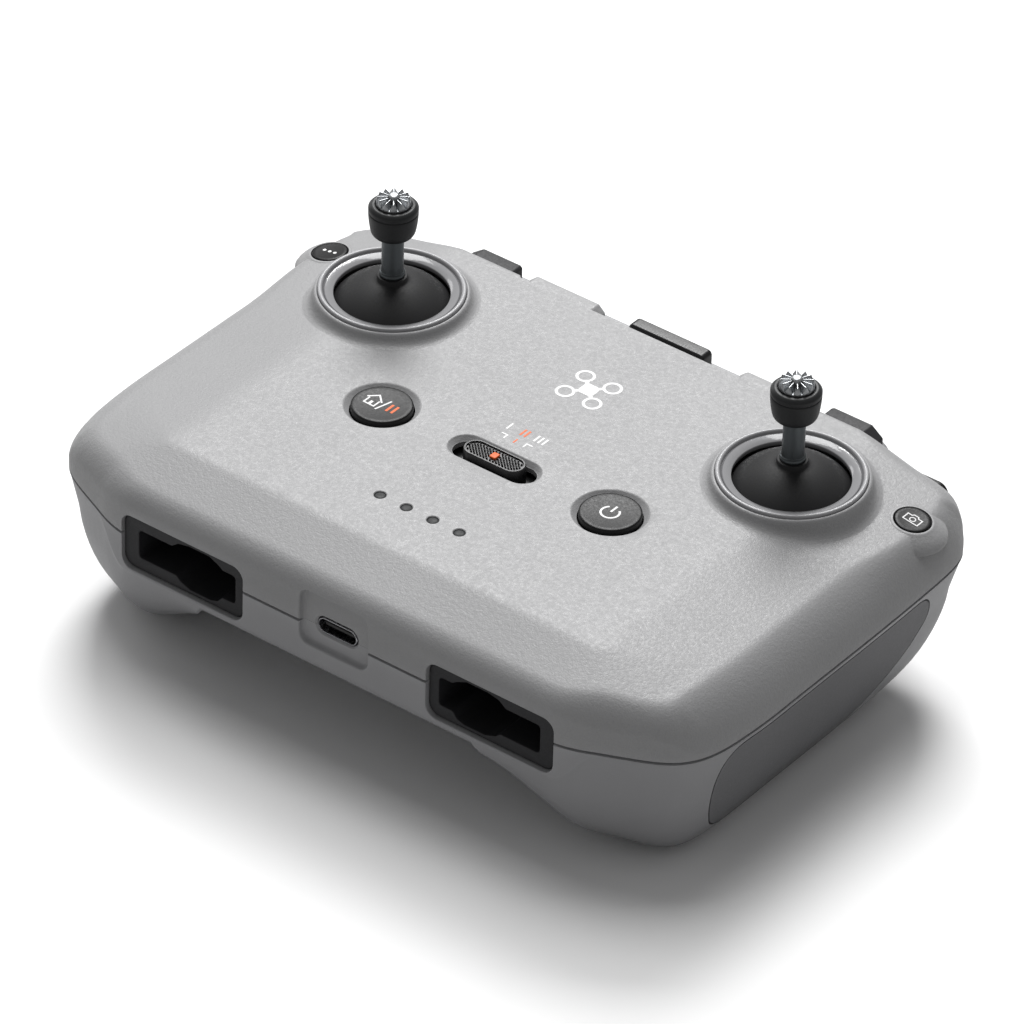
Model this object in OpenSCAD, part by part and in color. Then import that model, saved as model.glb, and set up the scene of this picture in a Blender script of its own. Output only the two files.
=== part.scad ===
// Handheld radio transmitter controller for a small camera drone.
// Millimetres, +Z up. Origin: centre of the footprint, on the plane the grips
// rest on. +X is the user's right, +Y points away from the user.

/* [Body] */
// Overall width of the shell at the seam
body_w = 150; // [148:1:156]
// Height of the seam between top and bottom shell
seam_z = 28.8; // [28.4:0.1:29.2]
// Shell wall thickness
wall = 2.0; // [1.8:0.1:2.2]
// Height of the flat top face
top_z = 42.4; // [42.4:0.1:43]

/* [Sticks] */
// Sideways position of each gimbal
stick_x = 46.36; // [46.2:0.02:46.6]
// Fore and aft position of each gimbal
stick_y = 22.96; // [22.6:0.02:23.2]
// Height of the gimbal pivot
pivot_z = 33.3; // [33.1:0.1:33.4]
// Radius of the gimbal dome
dome_r = 14.3; // [14.1:0.1:14.3]
// Diameter of the rubber stick grip
grip_d = 9.5; // [8:0.5:11]
// Length the stick stands above the dome collar
stick_len = 16.4; // [14:0.2:20]

/* [Controls] */
// Diameter of the return and power button caps
button_d = 11.7; // [10.5:0.1:11.8]
// Clearance round moving caps
gap = 0.25; // [0.2:0.05:0.4]

/* [Phone holder] */
// Half width of the sliding plate
plate_hw = 20; // [16:0.5:20]
// Thickness of the sliding plate
plate_t = 4; // [3:0.2:4]

/* [View] */
// Which node to draw
node = "all"; // [all, top_shell, bottom_shell]

/* [Hidden] */
NODES = ["top_shell", "bottom_shell", "grip_pad_left", "grip_pad_right",
  "stick_ring_left", "stick_ring_right", "storage_insert_left", "storage_insert_right",
  "usb_receptacle", "usb_tongue", "main_board", "board_chips", "rf_shield", "tact_switches",
  "shoulder_boards", "mode_switch_base", "led_light_guide", "battery_cell_left",
  "battery_cell_right", "battery_links", "case_screws", "board_screws", "gimbal_screws",
  "holder_rails", "holder_plate", "clamp_bar", "clamp_cover", "clamp_pad_left",
  "clamp_pad_right", "phone_plug", "phone_plug_tip", "antenna_left", "antenna_right",
  "gimbal_housing_left", "gimbal_housing_right", "gimbal_ring_left", "gimbal_ring_right",
  "gimbal_dome_left", "gimbal_dome_right", "stick_shaft_left", "stick_shaft_right",
  "stick_knob_left", "stick_knob_right", "stick_tip_left", "stick_tip_right",
  "power_button", "home_button", "function_button", "photo_button", "shutter_button",
  "mode_cap", "gimbal_dial", "dial_shaft", "dial_bracket"];

left = -1;
right = 1;
sides = [left, right];

top_grey = [0.66, 0.67, 0.68];
low_grey = [0.62, 0.63, 0.64];
dark_grey = [0.25, 0.25, 0.26];
shaft_grey = [0.45, 0.46, 0.47];
black = [0.08, 0.08, 0.09];
rubber = [0.16, 0.16, 0.17];
metal = [0.75, 0.75, 0.76];
board_green = [0.07, 0.25, 0.16];
guide_white = [0.9, 0.9, 0.9];
cell_blue = [0.2, 0.4, 0.65];
antenna_gold = [0.75, 0.6, 0.3];

// Body
half_w = body_w / 2;
body_depth = 97.5;
near_y = -52.1;
far_y = near_y + body_depth;
belly_z = 18.4;

// Parts in the top face
button_x = 26.37;
button_y = -5.12;
button_r = button_d / 2;
slider_y = -5.3;
led_xs = [-9.1, -3.03, 3.03, 9.1];
led_y = -27.4;
shoulder_at = [67.8, 31.14, top_z - 2.85];
shoulder_tilt = 8.6;
shoulder_r = 3.4;

// Parts in the far wall
dial_x = -61.5;
dial_y = 41.5;
shutter_x = 59;
shutter_z = 35.6;

// Storage slots in the near wall, one on each side
storage_x = [21.2, 49.6];
storage_z = [21.7, 33.4];
storage_r = 2.4;

// Main board and fixings; the points are [x, y] on the right-hand side
board_z = 30.85;
board_top = board_z + 1.6;
board_near_y = -38;
shoulder_board_top = 31.6;
case_points = [[34, -35.5], [25.5, 40.6]];
board_points = [[37, -24], [15, 34]];
lug_offsets = [[-14.5, -14.5], [14.5, -14.5], [-14.5, 14.5]];
lug_points = [for (offset = lug_offsets) [stick_x, stick_y] + offset];
lug_z = 35.0;
lug_t = 2.0;
screw_head_h = 1.3;
screw_seat = screw_head_h + 0.01;

// Battery cells, lying along Y in the grips
cell_x = 55;
cell_z = 14.9;
cell_r = 9.1;
cell_near_y = -38.4;
cell_len = 60;
terminal_h = 1.0;

// Phone holder
plate_z = 22.4;
plate_top = plate_z + plate_t;
plate_gap = 0.35;
clamp_x = [-48.5, 48.5];
clamp_y = 45.9;
cover_y = 50.6;
clamp_z = [19.5, 36.4];

// ---- helpers
function shown(name) = node == "all" || node == name;
function unit(v) = v / max(norm(v), 1e-9);
function clamp(value, low, high) = min(max(value, low), high);
function mix(from, to, share) = from * (1 - share) + to * share;
function around(centre, reach) = [centre - reach, centre + reach];
function grow(range, by) = [range[0] - by, range[1] + by];
function flip(point) = [point[0], point[1], -point[2]];

// Inward normal at point i of a ring that runs counter-clockwise seen from above
function inward(ring, i) =
  let(count = len(ring), along = unit(ring[(i + 1) % count] - ring[(i + count - 1) % count]))
  [-along[1], along[0]];
function inset(ring, i, distance) = ring[i] + inward(ring, i) * distance;
function level_ring(ring, distance, z) = [for (i = [0 : len(ring) - 1])
  let(point = inset(ring, i, distance)) [point[0], point[1], z]];

module on_side(side) {
  if (side < 0) mirror([1, 0, 0]) children();
  else children();
}
module both() {
  children();
  mirror([1, 0, 0]) children();
}
module at_points(points, z) for (point = points) translate([point[0], point[1], z]) children();
module at_stick(side) translate([side * stick_x, stick_y, pivot_z]) on_side(side) children();
// Frame of the right-hand shoulder button, leaning outwards
module at_shoulder() translate(shoulder_at) rotate([0, shoulder_tilt, 0]) children();
module at_dial(z) translate([dial_x, dial_y, z]) children();

// Boxes take [low, high] ranges; round_box has its Y edges rounded
module box(x, y, z) translate([x[0], y[0], z[0]]) cube([x[1] - x[0], y[1] - y[0], z[1] - z[0]]);
module round_box(x, y, z, radius) {
  translate([0, y[1], 0]) rotate([90, 0, 0]) linear_extrude(y[1] - y[0]) {
    translate([x[0] + radius, z[0]]) square([x[1] - x[0] - 2 * radius, z[1] - z[0]]);
    translate([x[0], z[0] + radius]) square([x[1] - x[0], z[1] - z[0] - 2 * radius]);
    for (corner_x = grow(x, -radius)) for (corner_z = grow(z, -radius))
      translate([corner_x, corner_z]) circle(radius, $fn = 24);
  }
}
module stadium(length, width, height) {
  reach = (length - width) / 2;
  translate([-reach, 0, 0]) cylinder(d = width, h = height, $fn = 40);
  translate([reach, 0, 0]) cylinder(d = width, h = height, $fn = 40);
  translate([-reach, -width / 2, 0]) cube([length - width, width, height]);
}

// Skin through rings of equal count, from the bottom up, closed by a fan at each end
module loft(rings, first_centre, last_centre) {
  count = len(rings[0]);
  last = len(rings) - 1;
  first_tip = (last + 1) * count;
  points = [for (ring = rings) each ring, first_centre, last_centre];
  faces = [
    for (k = [0 : last - 1], i = [0 : count - 1])
      let(here = k * count + i, next = k * count + (i + 1) % count)
      each [[here, here + count, next], [next, here + count, next + count]],
    for (i = [0 : count - 1]) [i, (i + 1) % count, first_tip],
    for (i = [0 : count - 1]) [last * count + (i + 1) % count, last * count + i, first_tip + 1]];
  polyhedron(points = points, faces = faces, convexity = 8);
}
// The same for rings from the top down
module loft_down(rings, first_centre, last_centre) mirror([0, 0, 1])
  loft([for (ring = rings) [for (point = ring) flip(point)]],
    flip(first_centre), flip(last_centre));

// ---- outline at the seam
// Right half from the near middle to the far middle:
// x at the nominal half width, y from the near edge
nominal_half_w = 75;
half_outline = [
  [0, 0], [16, 0], [32, 0], [44, 0], [50, 0.25], [54, 1.3], [57.9, 3.0], [61.3, 4.5],
  [64.6, 6.0], [67.6, 7.6], [70.4, 9.8], [72.5, 12.8], [73.8, 16.6], [74.5, 21.3], [75, 30],
  [75, 40], [75, 50], [75, 60], [74.9, 70], [74.7, 79], [74.4, 86], [73.7, 90.7],
  [72.0, 94.3], [69.0, 96.6], [64.8, 97.4], [58, 97.5], [50, 97.5], [40, 97.5], [28, 97.5],
  [14, 97.5], [0, 97.5]];
half_last = len(half_outline) - 1;
function outline_point(i, side) =
  [side * half_outline[i][0] * half_w / nominal_half_w, half_outline[i][1] + near_y];
seam_ring = [for (i = [0 : half_last]) outline_point(i, right),
  for (i = [half_last - 1 : -1 : 1]) outline_point(i, left)];

// ---- top shell skin
// The top face falls towards the near edge and outwards past each side line
near_fall_y = 13.3;
side_fall_x = 49;
function roof(x, y) =
  let(ahead = y - near_y - near_fall_y,
    past = max(abs(x) * nominal_half_w / half_w - side_fall_x, 0),
    corner = past > 0 ? min(0, ahead * 0.30) * (1 - clamp(past / 70, 0, 0.35)) : 0)
  min(0, min(ahead * 0.31, -past * 0.1516 + corner));

// Shares from 0 to 1: how far outline point i faces sideways, lies on a far
// shoulder, or lies on the middle of the far edge
function sideness(i) = pow(abs(inward(seam_ring, i)[0]), 1.5);
function shoulder(i) = seam_ring[i][1] > 30 ? clamp((abs(seam_ring[i][0]) - 46) / 14, 0, 1) : 0;
function far_middle(i) = seam_ring[i][1] > far_y - 2 ? 1 - shoulder(i) : 0;

// Rounded top edge: crisp in the far middle, wide at the sides
side_edge_w = 7.5;
function edge_width(i) =
  mix(mix(3.5 - 2.6 * far_middle(i), side_edge_w, sideness(i)),
    max(4.6, side_edge_w * sideness(i)), shoulder(i));
function edge_height(i, full) = min(full, mix(3.4 - 2.5 * far_middle(i), full, sideness(i)));
// Fall below the roof at a distance in from the outline, on a superellipse
function edge_drop(i, distance, full) =
  let(width = edge_width(i), power = 2 - 0.4 * sideness(i),
    share = clamp((width - distance) / width, 0, 1))
  edge_height(i, full) * (1 - pow(1 - pow(share, power), 1 / power));

// Shares of the edge width at which rings are laid
edge_shares = [0, 0.06, 0.16, 0.32, 0.55, 0.8, 1];
function edge_ring(share, depth) = [for (i = [0 : len(seam_ring) - 1])
  let(distance = edge_width(i) * share, point = inset(seam_ring, i, depth + distance),
    face_z = top_z - depth + roof(point[0], point[1]))
  [point[0], point[1], face_z - edge_drop(i, distance, face_z - seam_z - 0.3)]];
// Border of the flat part of the top face
function crease_ring(depth) = [for (outer = seam_ring)
  let(core = [clamp(outer[0], -48.15, 48.15), clamp(outer[1], near_y + 13.8, far_y - 14)],
    point = core + 0.03 * (outer - core))
  [point[0], point[1], top_z - depth]];
// Top body with its skin set in by depth
module top_solid(depth, base_z) loft(
  concat([level_ring(seam_ring, depth, base_z)],
    [for (share = edge_shares) edge_ring(share, depth)], [crease_ring(depth)]),
  [0, 0, base_z], [0, 0, top_z - depth]);

// ---- bottom shell skin: two rounded grips and a flat belly
grip_x = 52;
grip_inner_x = 31.5;
// The grips reach this far below the rest plane before they are cut flat
grip_below = 0.35;
grip_outline = [for (point = seam_ring) if (point[0] > 31.9) point,
  for (k = [0 : 5]) [grip_inner_x, far_y - 4 - k * 18]];
// Shares of the way from the spine to the outline at which rings are laid
grip_shares = [1, 0.955, 0.845, 0.78, 0.70, 0.58, 0.42, 0.22, 0];

// Direction weights from the spine: [outer, inner, near, far], adding up to 1
function facing(point, spine) =
  let(dir = unit(point - spine))
  [pow(max(dir[0], 0), 2), pow(min(dir[0], 0), 2), pow(min(dir[1], 0), 2), pow(max(dir[1], 0), 2)];
// Where each flank meets its rim slope, and the depth there, both as shares.
// The inner flank has none.
kink_shares = [0.846, 0, 0.989, 0.975];
kink_depths = [0.438, 0, 0.12, 0.11];
// Share of the grip depth at a share of the way out; the inner flank is an S
function grip_depth(share, weights) =
  let(rest = max(1 - weights[1], 1e-6),
    kink = weights * kink_shares / rest,
    kink_depth = weights * kink_depths / rest,
    round_depth = share >= kink
      ? kink_depth * (1 - share) / (1 - kink)
      : kink_depth + (1 - kink_depth) * pow(max(0, 1 - pow(share / kink, 2.2)), 1 / 2.2),
    inner_depth = 0.336 + 0.664 * 0.5 * (1 + cos(180 * min(share, 1))))
  mix(round_depth, inner_depth, 1 - pow(1 - weights[1], 2));
function grip_ring(share, depth) = [for (i = [0 : len(grip_outline) - 1])
  let(outer = inset(grip_outline, i, depth),
    spine = [grip_x, clamp(outer[1], near_y + 25.5, near_y + 70)],
    point = spine + (outer - spine) * max(share, 0.02),
    fall = grip_depth(share, facing(grip_outline[i], spine)))
  [point[0], point[1], seam_z - (seam_z + grip_below - depth) * fall]];
// Right-hand grip with its skin set in by depth, raised above the seam by up
module grip_solid(depth, up) intersection() {
  loft_down(
    concat([level_ring(grip_outline, depth, seam_z + up)],
      [for (share = grip_shares) grip_ring(share, depth)]),
    [grip_x, 0, seam_z + up], [grip_x, 0, depth - grip_below]);
  translate([-200, -200, depth]) cube([400, 400, 200]);
}

// Rounded lower edge of the belly: height above the belly, distance in
belly_edge = [[3.2, 0], [2.0, 0.45], [0.9, 1.3], [0.25, 2.4], [0, 3.8]];
module belly_solid(depth, up) intersection() {
  difference() {
    loft_down(
      concat([level_ring(seam_ring, depth, seam_z + up)],
        [for (step = belly_edge)
          level_ring(seam_ring, depth + step[1], belly_z + step[0] + depth)]),
      [0, 0, seam_z + up], [0, 0, belly_z + depth]);
    translate([-100, far_y + 5, 0]) cube([200, 20, 60]);
  }
  translate([-49.2, -100, 0]) cube([98.4, 200, 100]);
}

// ---- shells
module storage_cut() both()
  round_box(grow(storage_x, 0.05), [near_y - 3, near_y + 8], grow(storage_z, 0.05), storage_r);
module usb_cut() {
  round_box([-7.8, 7.8], [near_y - 2, near_y + 1.15], [24.4, 36.2], 2);
  round_box([-4.75, 4.75], [near_y - 1, near_y + 4], [27.25, 31.15], 1.9);
}

// Raised collar round a stick opening, z from the top face
module stick_collar() rotate_extrude($fn = 72) polygon([
  [9, -6], [9, 1.0], [14.3, 2.25], [14.7, 2.1], [15.0, 1.4], [15.5, 0.62],
  [16.5, 0.1], [18.0, -1], [18.0, -6]]);
module top_bosses() intersection() {
  top_solid(wall - 0.3, seam_z - 20);
  both() {
    at_points(case_points, seam_z - 4) cylinder(r = 2.6, h = 16, $fn = 24);
    at_points(board_points, board_top) cylinder(r = 2.4, h = 12, $fn = 24);
    at_points(lug_points, lug_z + lug_t + 0.02) rotate([0, 0, 4])
      cylinder(r = 2.6, h = 6, $fn = 20);
  }
}
module top_face_cuts() {
  for (side = sides) translate([side * stick_x, stick_y, top_z]) {
    translate([0, 0, -5]) rotate([0, 0, 4]) cylinder(r = 13.455, h = 8, $fn = 70);
    translate([0, 0, 0.98]) cylinder(r = 14.08, h = 4, $fn = 72);
  }
  // button holes with a dished rim
  for (side = sides) translate([side * button_x, button_y, top_z]) {
    translate([0, 0, -4]) cylinder(r = button_r + gap, h = 6, $fn = 48);
    translate([0, 0, -0.9]) cylinder(r1 = button_r + gap + 0.1, r2 = 7.25, h = 0.92, $fn = 48);
  }
  translate([0, slider_y, top_z - 4]) stadium(18.2, 5.6, 6);
  translate([0, slider_y, top_z - 0.7]) stadium(20, 7.2, 2);
  for (x = led_xs) translate([x, led_y, top_z - 4]) cylinder(r = 1.2, h = 8, $fn = 24);
  both() at_shoulder() translate([0, 0, -4.4]) cylinder(r = shoulder_r + gap, h = 8, $fn = 40);
}
module top_screw_holes() both() {
  at_points(case_points, seam_z - 5) cylinder(r = 1.05, h = 12, $fn = 20);
  at_points(board_points, board_top - 1) cylinder(r = 0.9, h = 6.5, $fn = 20);
  at_points(lug_points, 36) cylinder(r = 0.9, h = 3.6, $fn = 20);
}
// The zero resize in the shells and grip pads leaves their size as it is
module top_shell() color(top_grey) resize([0, 0, 0]) difference() {
  union() {
    difference() {
      union() {
        top_solid(0, seam_z);
        for (side = sides) translate([side * stick_x, stick_y, top_z]) stick_collar();
      }
      top_solid(wall, seam_z - 1);
    }
    top_bosses();
    // rims round the two shoulder buttons
    both() at_shoulder() translate([0, 0, -2.4]) cylinder(r1 = 5.0, r2 = 4.2, h = 2.55, $fn = 40);
  }
  top_face_cuts();
  storage_cut();
  usb_cut();
  top_screw_holes();
  // dial window and shutter window in the far wall
  box(around(dial_x, 6.3), [37, 60], [30.2, 36.3]);
  round_box(around(shutter_x, 6.8), [41, 60], around(shutter_z, 2.6), 2.55);
  // room for the phone against the far wall
  box([-33, 33], [far_y - 1.2, far_y + 3], [36.0, 60]);
}

module battery_cradles() intersection() {
  both() grip_solid(wall - 0.3, -0.1);
  difference() {
    both() for (y = [-21.6, 12]) box([45, 70], [y, y + 2], [-1, 13]);
    both() translate([cell_x, 60, cell_z]) rotate([90, 0, 0])
      cylinder(r = cell_r + 0.05, h = 140, $fn = 64);
  }
}
module bottom_shell() color(low_grey) resize([0, 0, 0]) difference() {
  union() {
    difference() {
      union() {
        belly_solid(0, 0);
        both() grip_solid(0, 0);
      }
      belly_solid(wall, 1);
      both() grip_solid(wall, 1);
      box([-50, 50], [near_y + wall, far_y - wall], [belly_z + wall, 60]);
    }
    battery_cradles();
    // screw towers
    both() at_points(case_points, belly_z + 0.5) cylinder(r = 3.4, h = 6.1, $fn = 32);
  }
  both() {
    at_points(case_points, belly_z - 2) cylinder(r = 2.45, h = 5.2, $fn = 28);
    at_points(case_points, belly_z + 1) cylinder(r = 1.35, h = 8, $fn = 24);
    at_points(case_points, seam_z - 4.05) cylinder(r = 2.65, h = 8, $fn = 24);
  }
  storage_cut();
  usb_cut();
  // slot the phone holder slides through
  box(grow([-plate_hw, plate_hw], plate_gap), around(far_y, 5),
    grow([plate_z, plate_top], plate_gap));
  both() pad_seat();
}

// ---- rubber panels wrapped on the outer side of each grip
// Outlines seen from the side: y from the near edge, z
seat_outline = [
  [18.5, 14], [18.3, 20.5], [19.2, 24.6], [22.4, 27.2], [79, 27.2], [82, 23.6],
  [82.4, 18.6], [79, 15.8], [72, 9.6], [62, 5.4], [25.2, 5.4], [20.2, 9.4]];
pad_outline = [
  [18.7, 14], [18.5, 20.45], [19.4, 24.5], [22.5, 27.0], [78.9, 27.0], [81.8, 23.5],
  [82.2, 18.7], [78.9, 16.0], [71.9, 9.8], [61.9, 5.6], [25.3, 5.6], [20.4, 9.5]];
module panel_block(outline, inner_x) intersection() {
  rotate([90, 0, 90]) translate([0, 0, 60]) linear_extrude(30)
    polygon([for (point = outline) point + [near_y, 0]]);
  translate([inner_x, -100, 0]) cube([30, 200, 60]);
}
module pad_seat() difference() {
  panel_block(seat_outline, 60);
  grip_solid(1.0, 5);
}
module grip_pad(side) color(dark_grey) resize([0, 0, 0]) on_side(side) intersection() {
  grip_solid(0, 0);
  difference() {
    panel_block(pad_outline, 60.2);
    grip_solid(0.98, 5);
  }
}

// ---- trim
module stick_ring(side) color(metal) translate([side * stick_x, stick_y, top_z])
  rotate_extrude($fn = 128) polygon([
    [11.05, 0.75], [11.0, 1.6], [11.12, 1.78], [12.8, 2.3], [12.95, 2.12], [13.1, 2.4],
    [13.35, 2.8], [13.8, 2.83], [14.0, 2.65], [14.0, 1.0], [13.4, 1.0], [13.4, -1.9],
    [12.9, -1.9], [12.35, -0.3]]);

module storage_insert(side) color(rubber) on_side(side) difference() {
  pocket_y = [near_y, near_y + 10.8];
  round_box(storage_x, [near_y + 0.95, near_y + 12.1], storage_z, storage_r);
  round_box([23.5, 46.2], pocket_y, [24.4, 30.4], 1.4);
  round_box([27, 36.2], pocket_y, [22.9, 31.9], 1.4);
}
module usb_receptacle() color(metal) difference() {
  round_box([-4.47, 4.47], [near_y + 1.2, near_y + 8.6], [27.6, 30.84], 1.55);
  round_box([-4.17, 4.17], [near_y - 1, near_y + 7.2], [27.9, 30.54], 1.28);
}
module usb_tongue() color(black) {
  box([-3.35, 3.35], [near_y + 2.0, near_y + 7.2], [28.87, 29.57]);
  round_box([-4.15, 4.15], [near_y + 6.4, near_y + 7.18], [27.92, 30.52], 1.26);
}

// ---- electronics
module main_board() color(board_green) difference() {
  thickness = [board_z, board_top];
  union() {
    box([-40.5, 40.5], [board_near_y, 0.5], thickness);
    box([-26.6, 26.6], [0.5, 37.5], thickness);
    box([-9, 9], [near_y + 3.0, board_near_y], thickness);
  }
  both() at_points([case_points[0]], board_z - 1) cylinder(r = 3.0, h = 4, $fn = 32);
  both() at_points(board_points, board_z - 1) cylinder(r = 1.1, h = 4, $fn = 24);
}
// Chips on top of the board: x range, y range, height
chips = [
  [[-6, 6], [8, 20], 1.2],
  [[9, 17], [6, 12], 1.0],
  [[-18, -10], [22, 29], 0.9],
  [[-30, -22], [-30, -23], 1.1],
  [[20, 29], [-31, -22], 1.1]];
module board_chips() color(black) {
  for (chip = chips) box(chip[0], chip[1], [board_top, board_top + chip[2]]);
  // one under each light guide pin
  for (x = led_xs) box(around(x, 0.8), around(led_y, 0.6), [board_top, board_top + 0.6]);
  // one on the underside
  box([-4, 4], [-20, -15], [board_z - 1, board_z]);
}
module rf_shield() color(metal) difference() {
  box([-22, 22], [22.5, 37], [board_z - 2.6, board_z]);
  box([-21.7, 21.7], [22.8, 36.7], [board_z - 2.3, board_z + 1]);
  both() at_points([board_points[1]], board_z - 4) cylinder(r = 2.6, h = 6, $fn = 32);
}
// Square switch with a round well, open at the top
module push_switch(width, height, well_r, floor_h = 1.1) difference() {
  translate([-width / 2, -width / 2, 0]) cube([width, width, height]);
  translate([0, 0, floor_h]) cylinder(r = well_r, h = height, $fn = 32);
}
module tact_switches() color(black) {
  for (side = sides) translate([side * button_x, button_y, board_top]) push_switch(6, 3.5, 1.7);
  both() translate([shoulder_at[0] - 0.9, shoulder_at[1], shoulder_board_top])
    push_switch(4.5, 2.6, 1.3);
  translate([shutter_x, 38.9, shutter_z]) rotate([-90, 0, 0]) push_switch(4.5, 2.0, 1.3, 0.5);
}
module shoulder_boards() color(board_green) {
  both() box([64.4, 70.4], [27, 33.5], [30.4, shoulder_board_top]);
  box([shutter_x - 2.4, shutter_x + 4], [38.0, 38.9], [30, 37.8]);
}
module mode_switch_base() color(metal) difference() {
  box([-6.5, 6.5], around(slider_y, 3.2), [board_top, board_top + 3.6]);
  box([-3.7, 3.7], around(slider_y, 1.2), [board_top + 1, board_top + 5]);
}
module led_light_guide() color(guide_white) {
  bar_z = top_z - 4.2;
  box([-11, 11], around(led_y, 1.2), [bar_z, top_z - 2.6]);
  for (x = led_xs) translate([x, led_y, bar_z]) cylinder(r = 1.17, h = 4.1, $fn = 32);
}
module battery_cell(side) color(cell_blue) on_side(side)
  translate([cell_x, cell_near_y, cell_z]) rotate([-90, 0, 0]) {
    cylinder(r = cell_r, h = cell_len, $fn = 64);
    translate([0, 0, cell_len]) cylinder(r = 3.2, h = terminal_h, $fn = 32);
  }
// Plates at the two ends of each cell
module battery_links() color(metal) {
  far_end = cell_near_y + cell_len + terminal_h;
  for (y = [[cell_near_y - 0.35, cell_near_y - 0.01], [far_end + 0.01, far_end + 0.35]])
    both() box(around(cell_x, 3), y, [9, 21]);
}

// Screw pointing up, with a hex recess in its head
module screw(length, diameter, head_d) difference() {
  union() {
    cylinder(d = head_d, h = screw_head_h, $fn = 32);
    translate([0, 0, 1.25]) cylinder(d = diameter, h = length, $fn = 20);
  }
  translate([0, 0, -0.1]) cylinder(d = head_d * 0.45, h = 0.8, $fn = 6);
}
module case_screws() color(metal) both()
  at_points(case_points, belly_z + 1.85) screw(8.6, 2.06, 4.4);
module board_screws() color(metal) both()
  at_points(board_points, board_z - screw_seat) screw(5.6, 1.76, 3.6);
module gimbal_screws() color(metal) both()
  at_points(lug_points, lug_z - screw_seat) screw(4.6, 1.76, 3.6);

// ---- phone holder
module holder_rails() color(black) both() {
  rail_y = [-38.5, 43.2];
  rail_top = plate_top + 1.3;
  box([plate_hw + 0.06, plate_hw + 2.0], rail_y, [belly_z + wall + 0.01, rail_top]);
  box([plate_hw - 2.5, plate_hw + 0.1], rail_y, [plate_top + 0.06, rail_top]);
}
module holder_plate() color(dark_grey) difference() {
  box([-plate_hw, plate_hw], [-47.5, clamp_y], [plate_z, plate_top]);
  for (x = [-12, 0, 12]) box(around(x, 4.4), [-43, 27], [plate_z + 1.2, plate_top + 1]);
}
module clamp_bar() color(top_grey) difference() {
  union() {
    round_box(clamp_x, [clamp_y, cover_y], clamp_z, 3);
    both() round_box([15.8, 33.5], [46.3, 49.4], [30, 40.3], 0.8);
  }
  // hollow on the far side
  both() round_box([9.6, 46.5], [47.9, 51], [21.5, 34.6], 1.5);
  // seats for the pads and the plug
  both() box([35.98, 49], [45, 50.2], [28, 41]);
  box([-8.9, 8.9], [46.4, 50.0], [29.9, 42]);
  box([-4.4, 4.4], [47.0, 49.8], [23.2, 31]);
}
module clamp_cover() color(low_grey) round_box(clamp_x, [cover_y, cover_y + 1.5], clamp_z, 3);
module clamp_pad(side) color(rubber) on_side(side) difference() {
  union() {
    round_box([36.0, 48.0], [45.95, 49.3], [28.02, 40.4], 1.0);
    round_box([37.0, 47.4], [49.2, 50.15], [30, 38.6], 1.0);
  }
  for (z = [31, 33, 35, 37]) box([36.9, 47.1], [45, 46.5], [z, z + 0.8]);
}
module phone_plug() color(black) {
  round_box([-8.8, 8.8], [46.9, 49.9], [30.0, 40.9], 1.2);
  for (x = [-6.4, -4.8, -3.2, 3.2, 4.8, 6.4]) box(around(x, 0.35), [46.65, 47], [36.2, 40]);
}
module phone_plug_tip() color(metal) difference() {
  half_flat = 2.95;
  radius = 1.2;
  height = 6.39;
  translate([0, 48.4, 23.6]) union() {
    box([-half_flat, half_flat], [-radius, radius], [0, height]);
    for (x = [-half_flat, half_flat]) translate([x, 0, 0]) cylinder(r = radius, h = height, $fn = 32);
  }
  translate([-2.9, 47.7, 23]) cube([5.8, 1.4, 5.6]);
}
module antenna(side) color(antenna_gold) on_side(side) difference() {
  box([10, 34], [48.1, 49.1], [22.2, 29.6]);
  for (z = [24, 26.2]) box([13, 31], [48.9, 50], [z, z + 0.8]);
}

// ---- gimbals
module gimbal_housing(side) color(black) at_stick(side) difference() {
  union() {
    translate([0, 0, 24.8 - pivot_z]) cylinder(r = 18.2, h = 12.2, $fn = 72);
    both() box([16.4, 18.85], [-3, 3], [26 - pivot_z, 36.4 - pivot_z]);
    for (offset = lug_offsets) housing_lug(offset);
  }
  translate([0, 0, 24 - pivot_z]) cylinder(r = 16.95, h = 20, $fn = 72);
  rotate([0, 90, 0]) translate([0, 0, -18.5]) cylinder(r = 1.05, h = 37, $fn = 32);
  at_points(lug_offsets, 20 - pivot_z) cylinder(r = 1.1, h = 20, $fn = 24);
}
// Screw eye and the web that ties it to the housing
module housing_lug(offset) {
  base_z = lug_z - pivot_z;
  translate([offset[0], offset[1], base_z]) cylinder(r = 2.6, h = lug_t, $fn = 28);
  rotate([0, 0, atan2(offset[1], offset[0])]) translate([17.3, -2.1, base_z])
    cube([2.0, 4.2, lug_t]);
}
// Ring with two pivot pins along X and a cross hole along Y
module gimbal_ring(side) color(metal) at_stick(side) {
  difference() {
    translate([0, 0, -1.4]) cylinder(r = 16.3, h = 2.8, $fn = 96);
    translate([0, 0, -3]) cylinder(r = 14.5, h = 6, $fn = 96);
    rotate([90, 0, 0]) translate([0, 0, -20]) cylinder(r = 1.05, h = 40, $fn = 32);
  }
  for (way = sides) rotate([0, way * 90, 0]) translate([0, 0, 15.9])
    cylinder(r = 1.0, h = 2.4, $fn = 32);
}
// Hollow dome with two pivot pins along Y and a socket for the stick
module gimbal_dome(side) color(black) at_stick(side) difference() {
  union() {
    rotate_extrude($fn = 96) dome_profile();
    for (way = sides) rotate([way * 90, 0, 0]) translate([0, 0, 12.9])
      cylinder(r = 1.0, h = 3.2, $fn = 32);
    translate([0, 0, dome_r - 3]) cylinder(r = 2.9, h = 3.6, $fn = 48);
  }
  translate([0, 0, dome_r - 2.5]) cylinder(r = 1.55, h = 6, $fn = 32);
}
module dome_profile() intersection() {
  difference() {
    circle(dome_r, $fn = 128);
    circle(dome_r - 1.3, $fn = 128);
  }
  translate([0, -3]) square([30, 40]);
}

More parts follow.
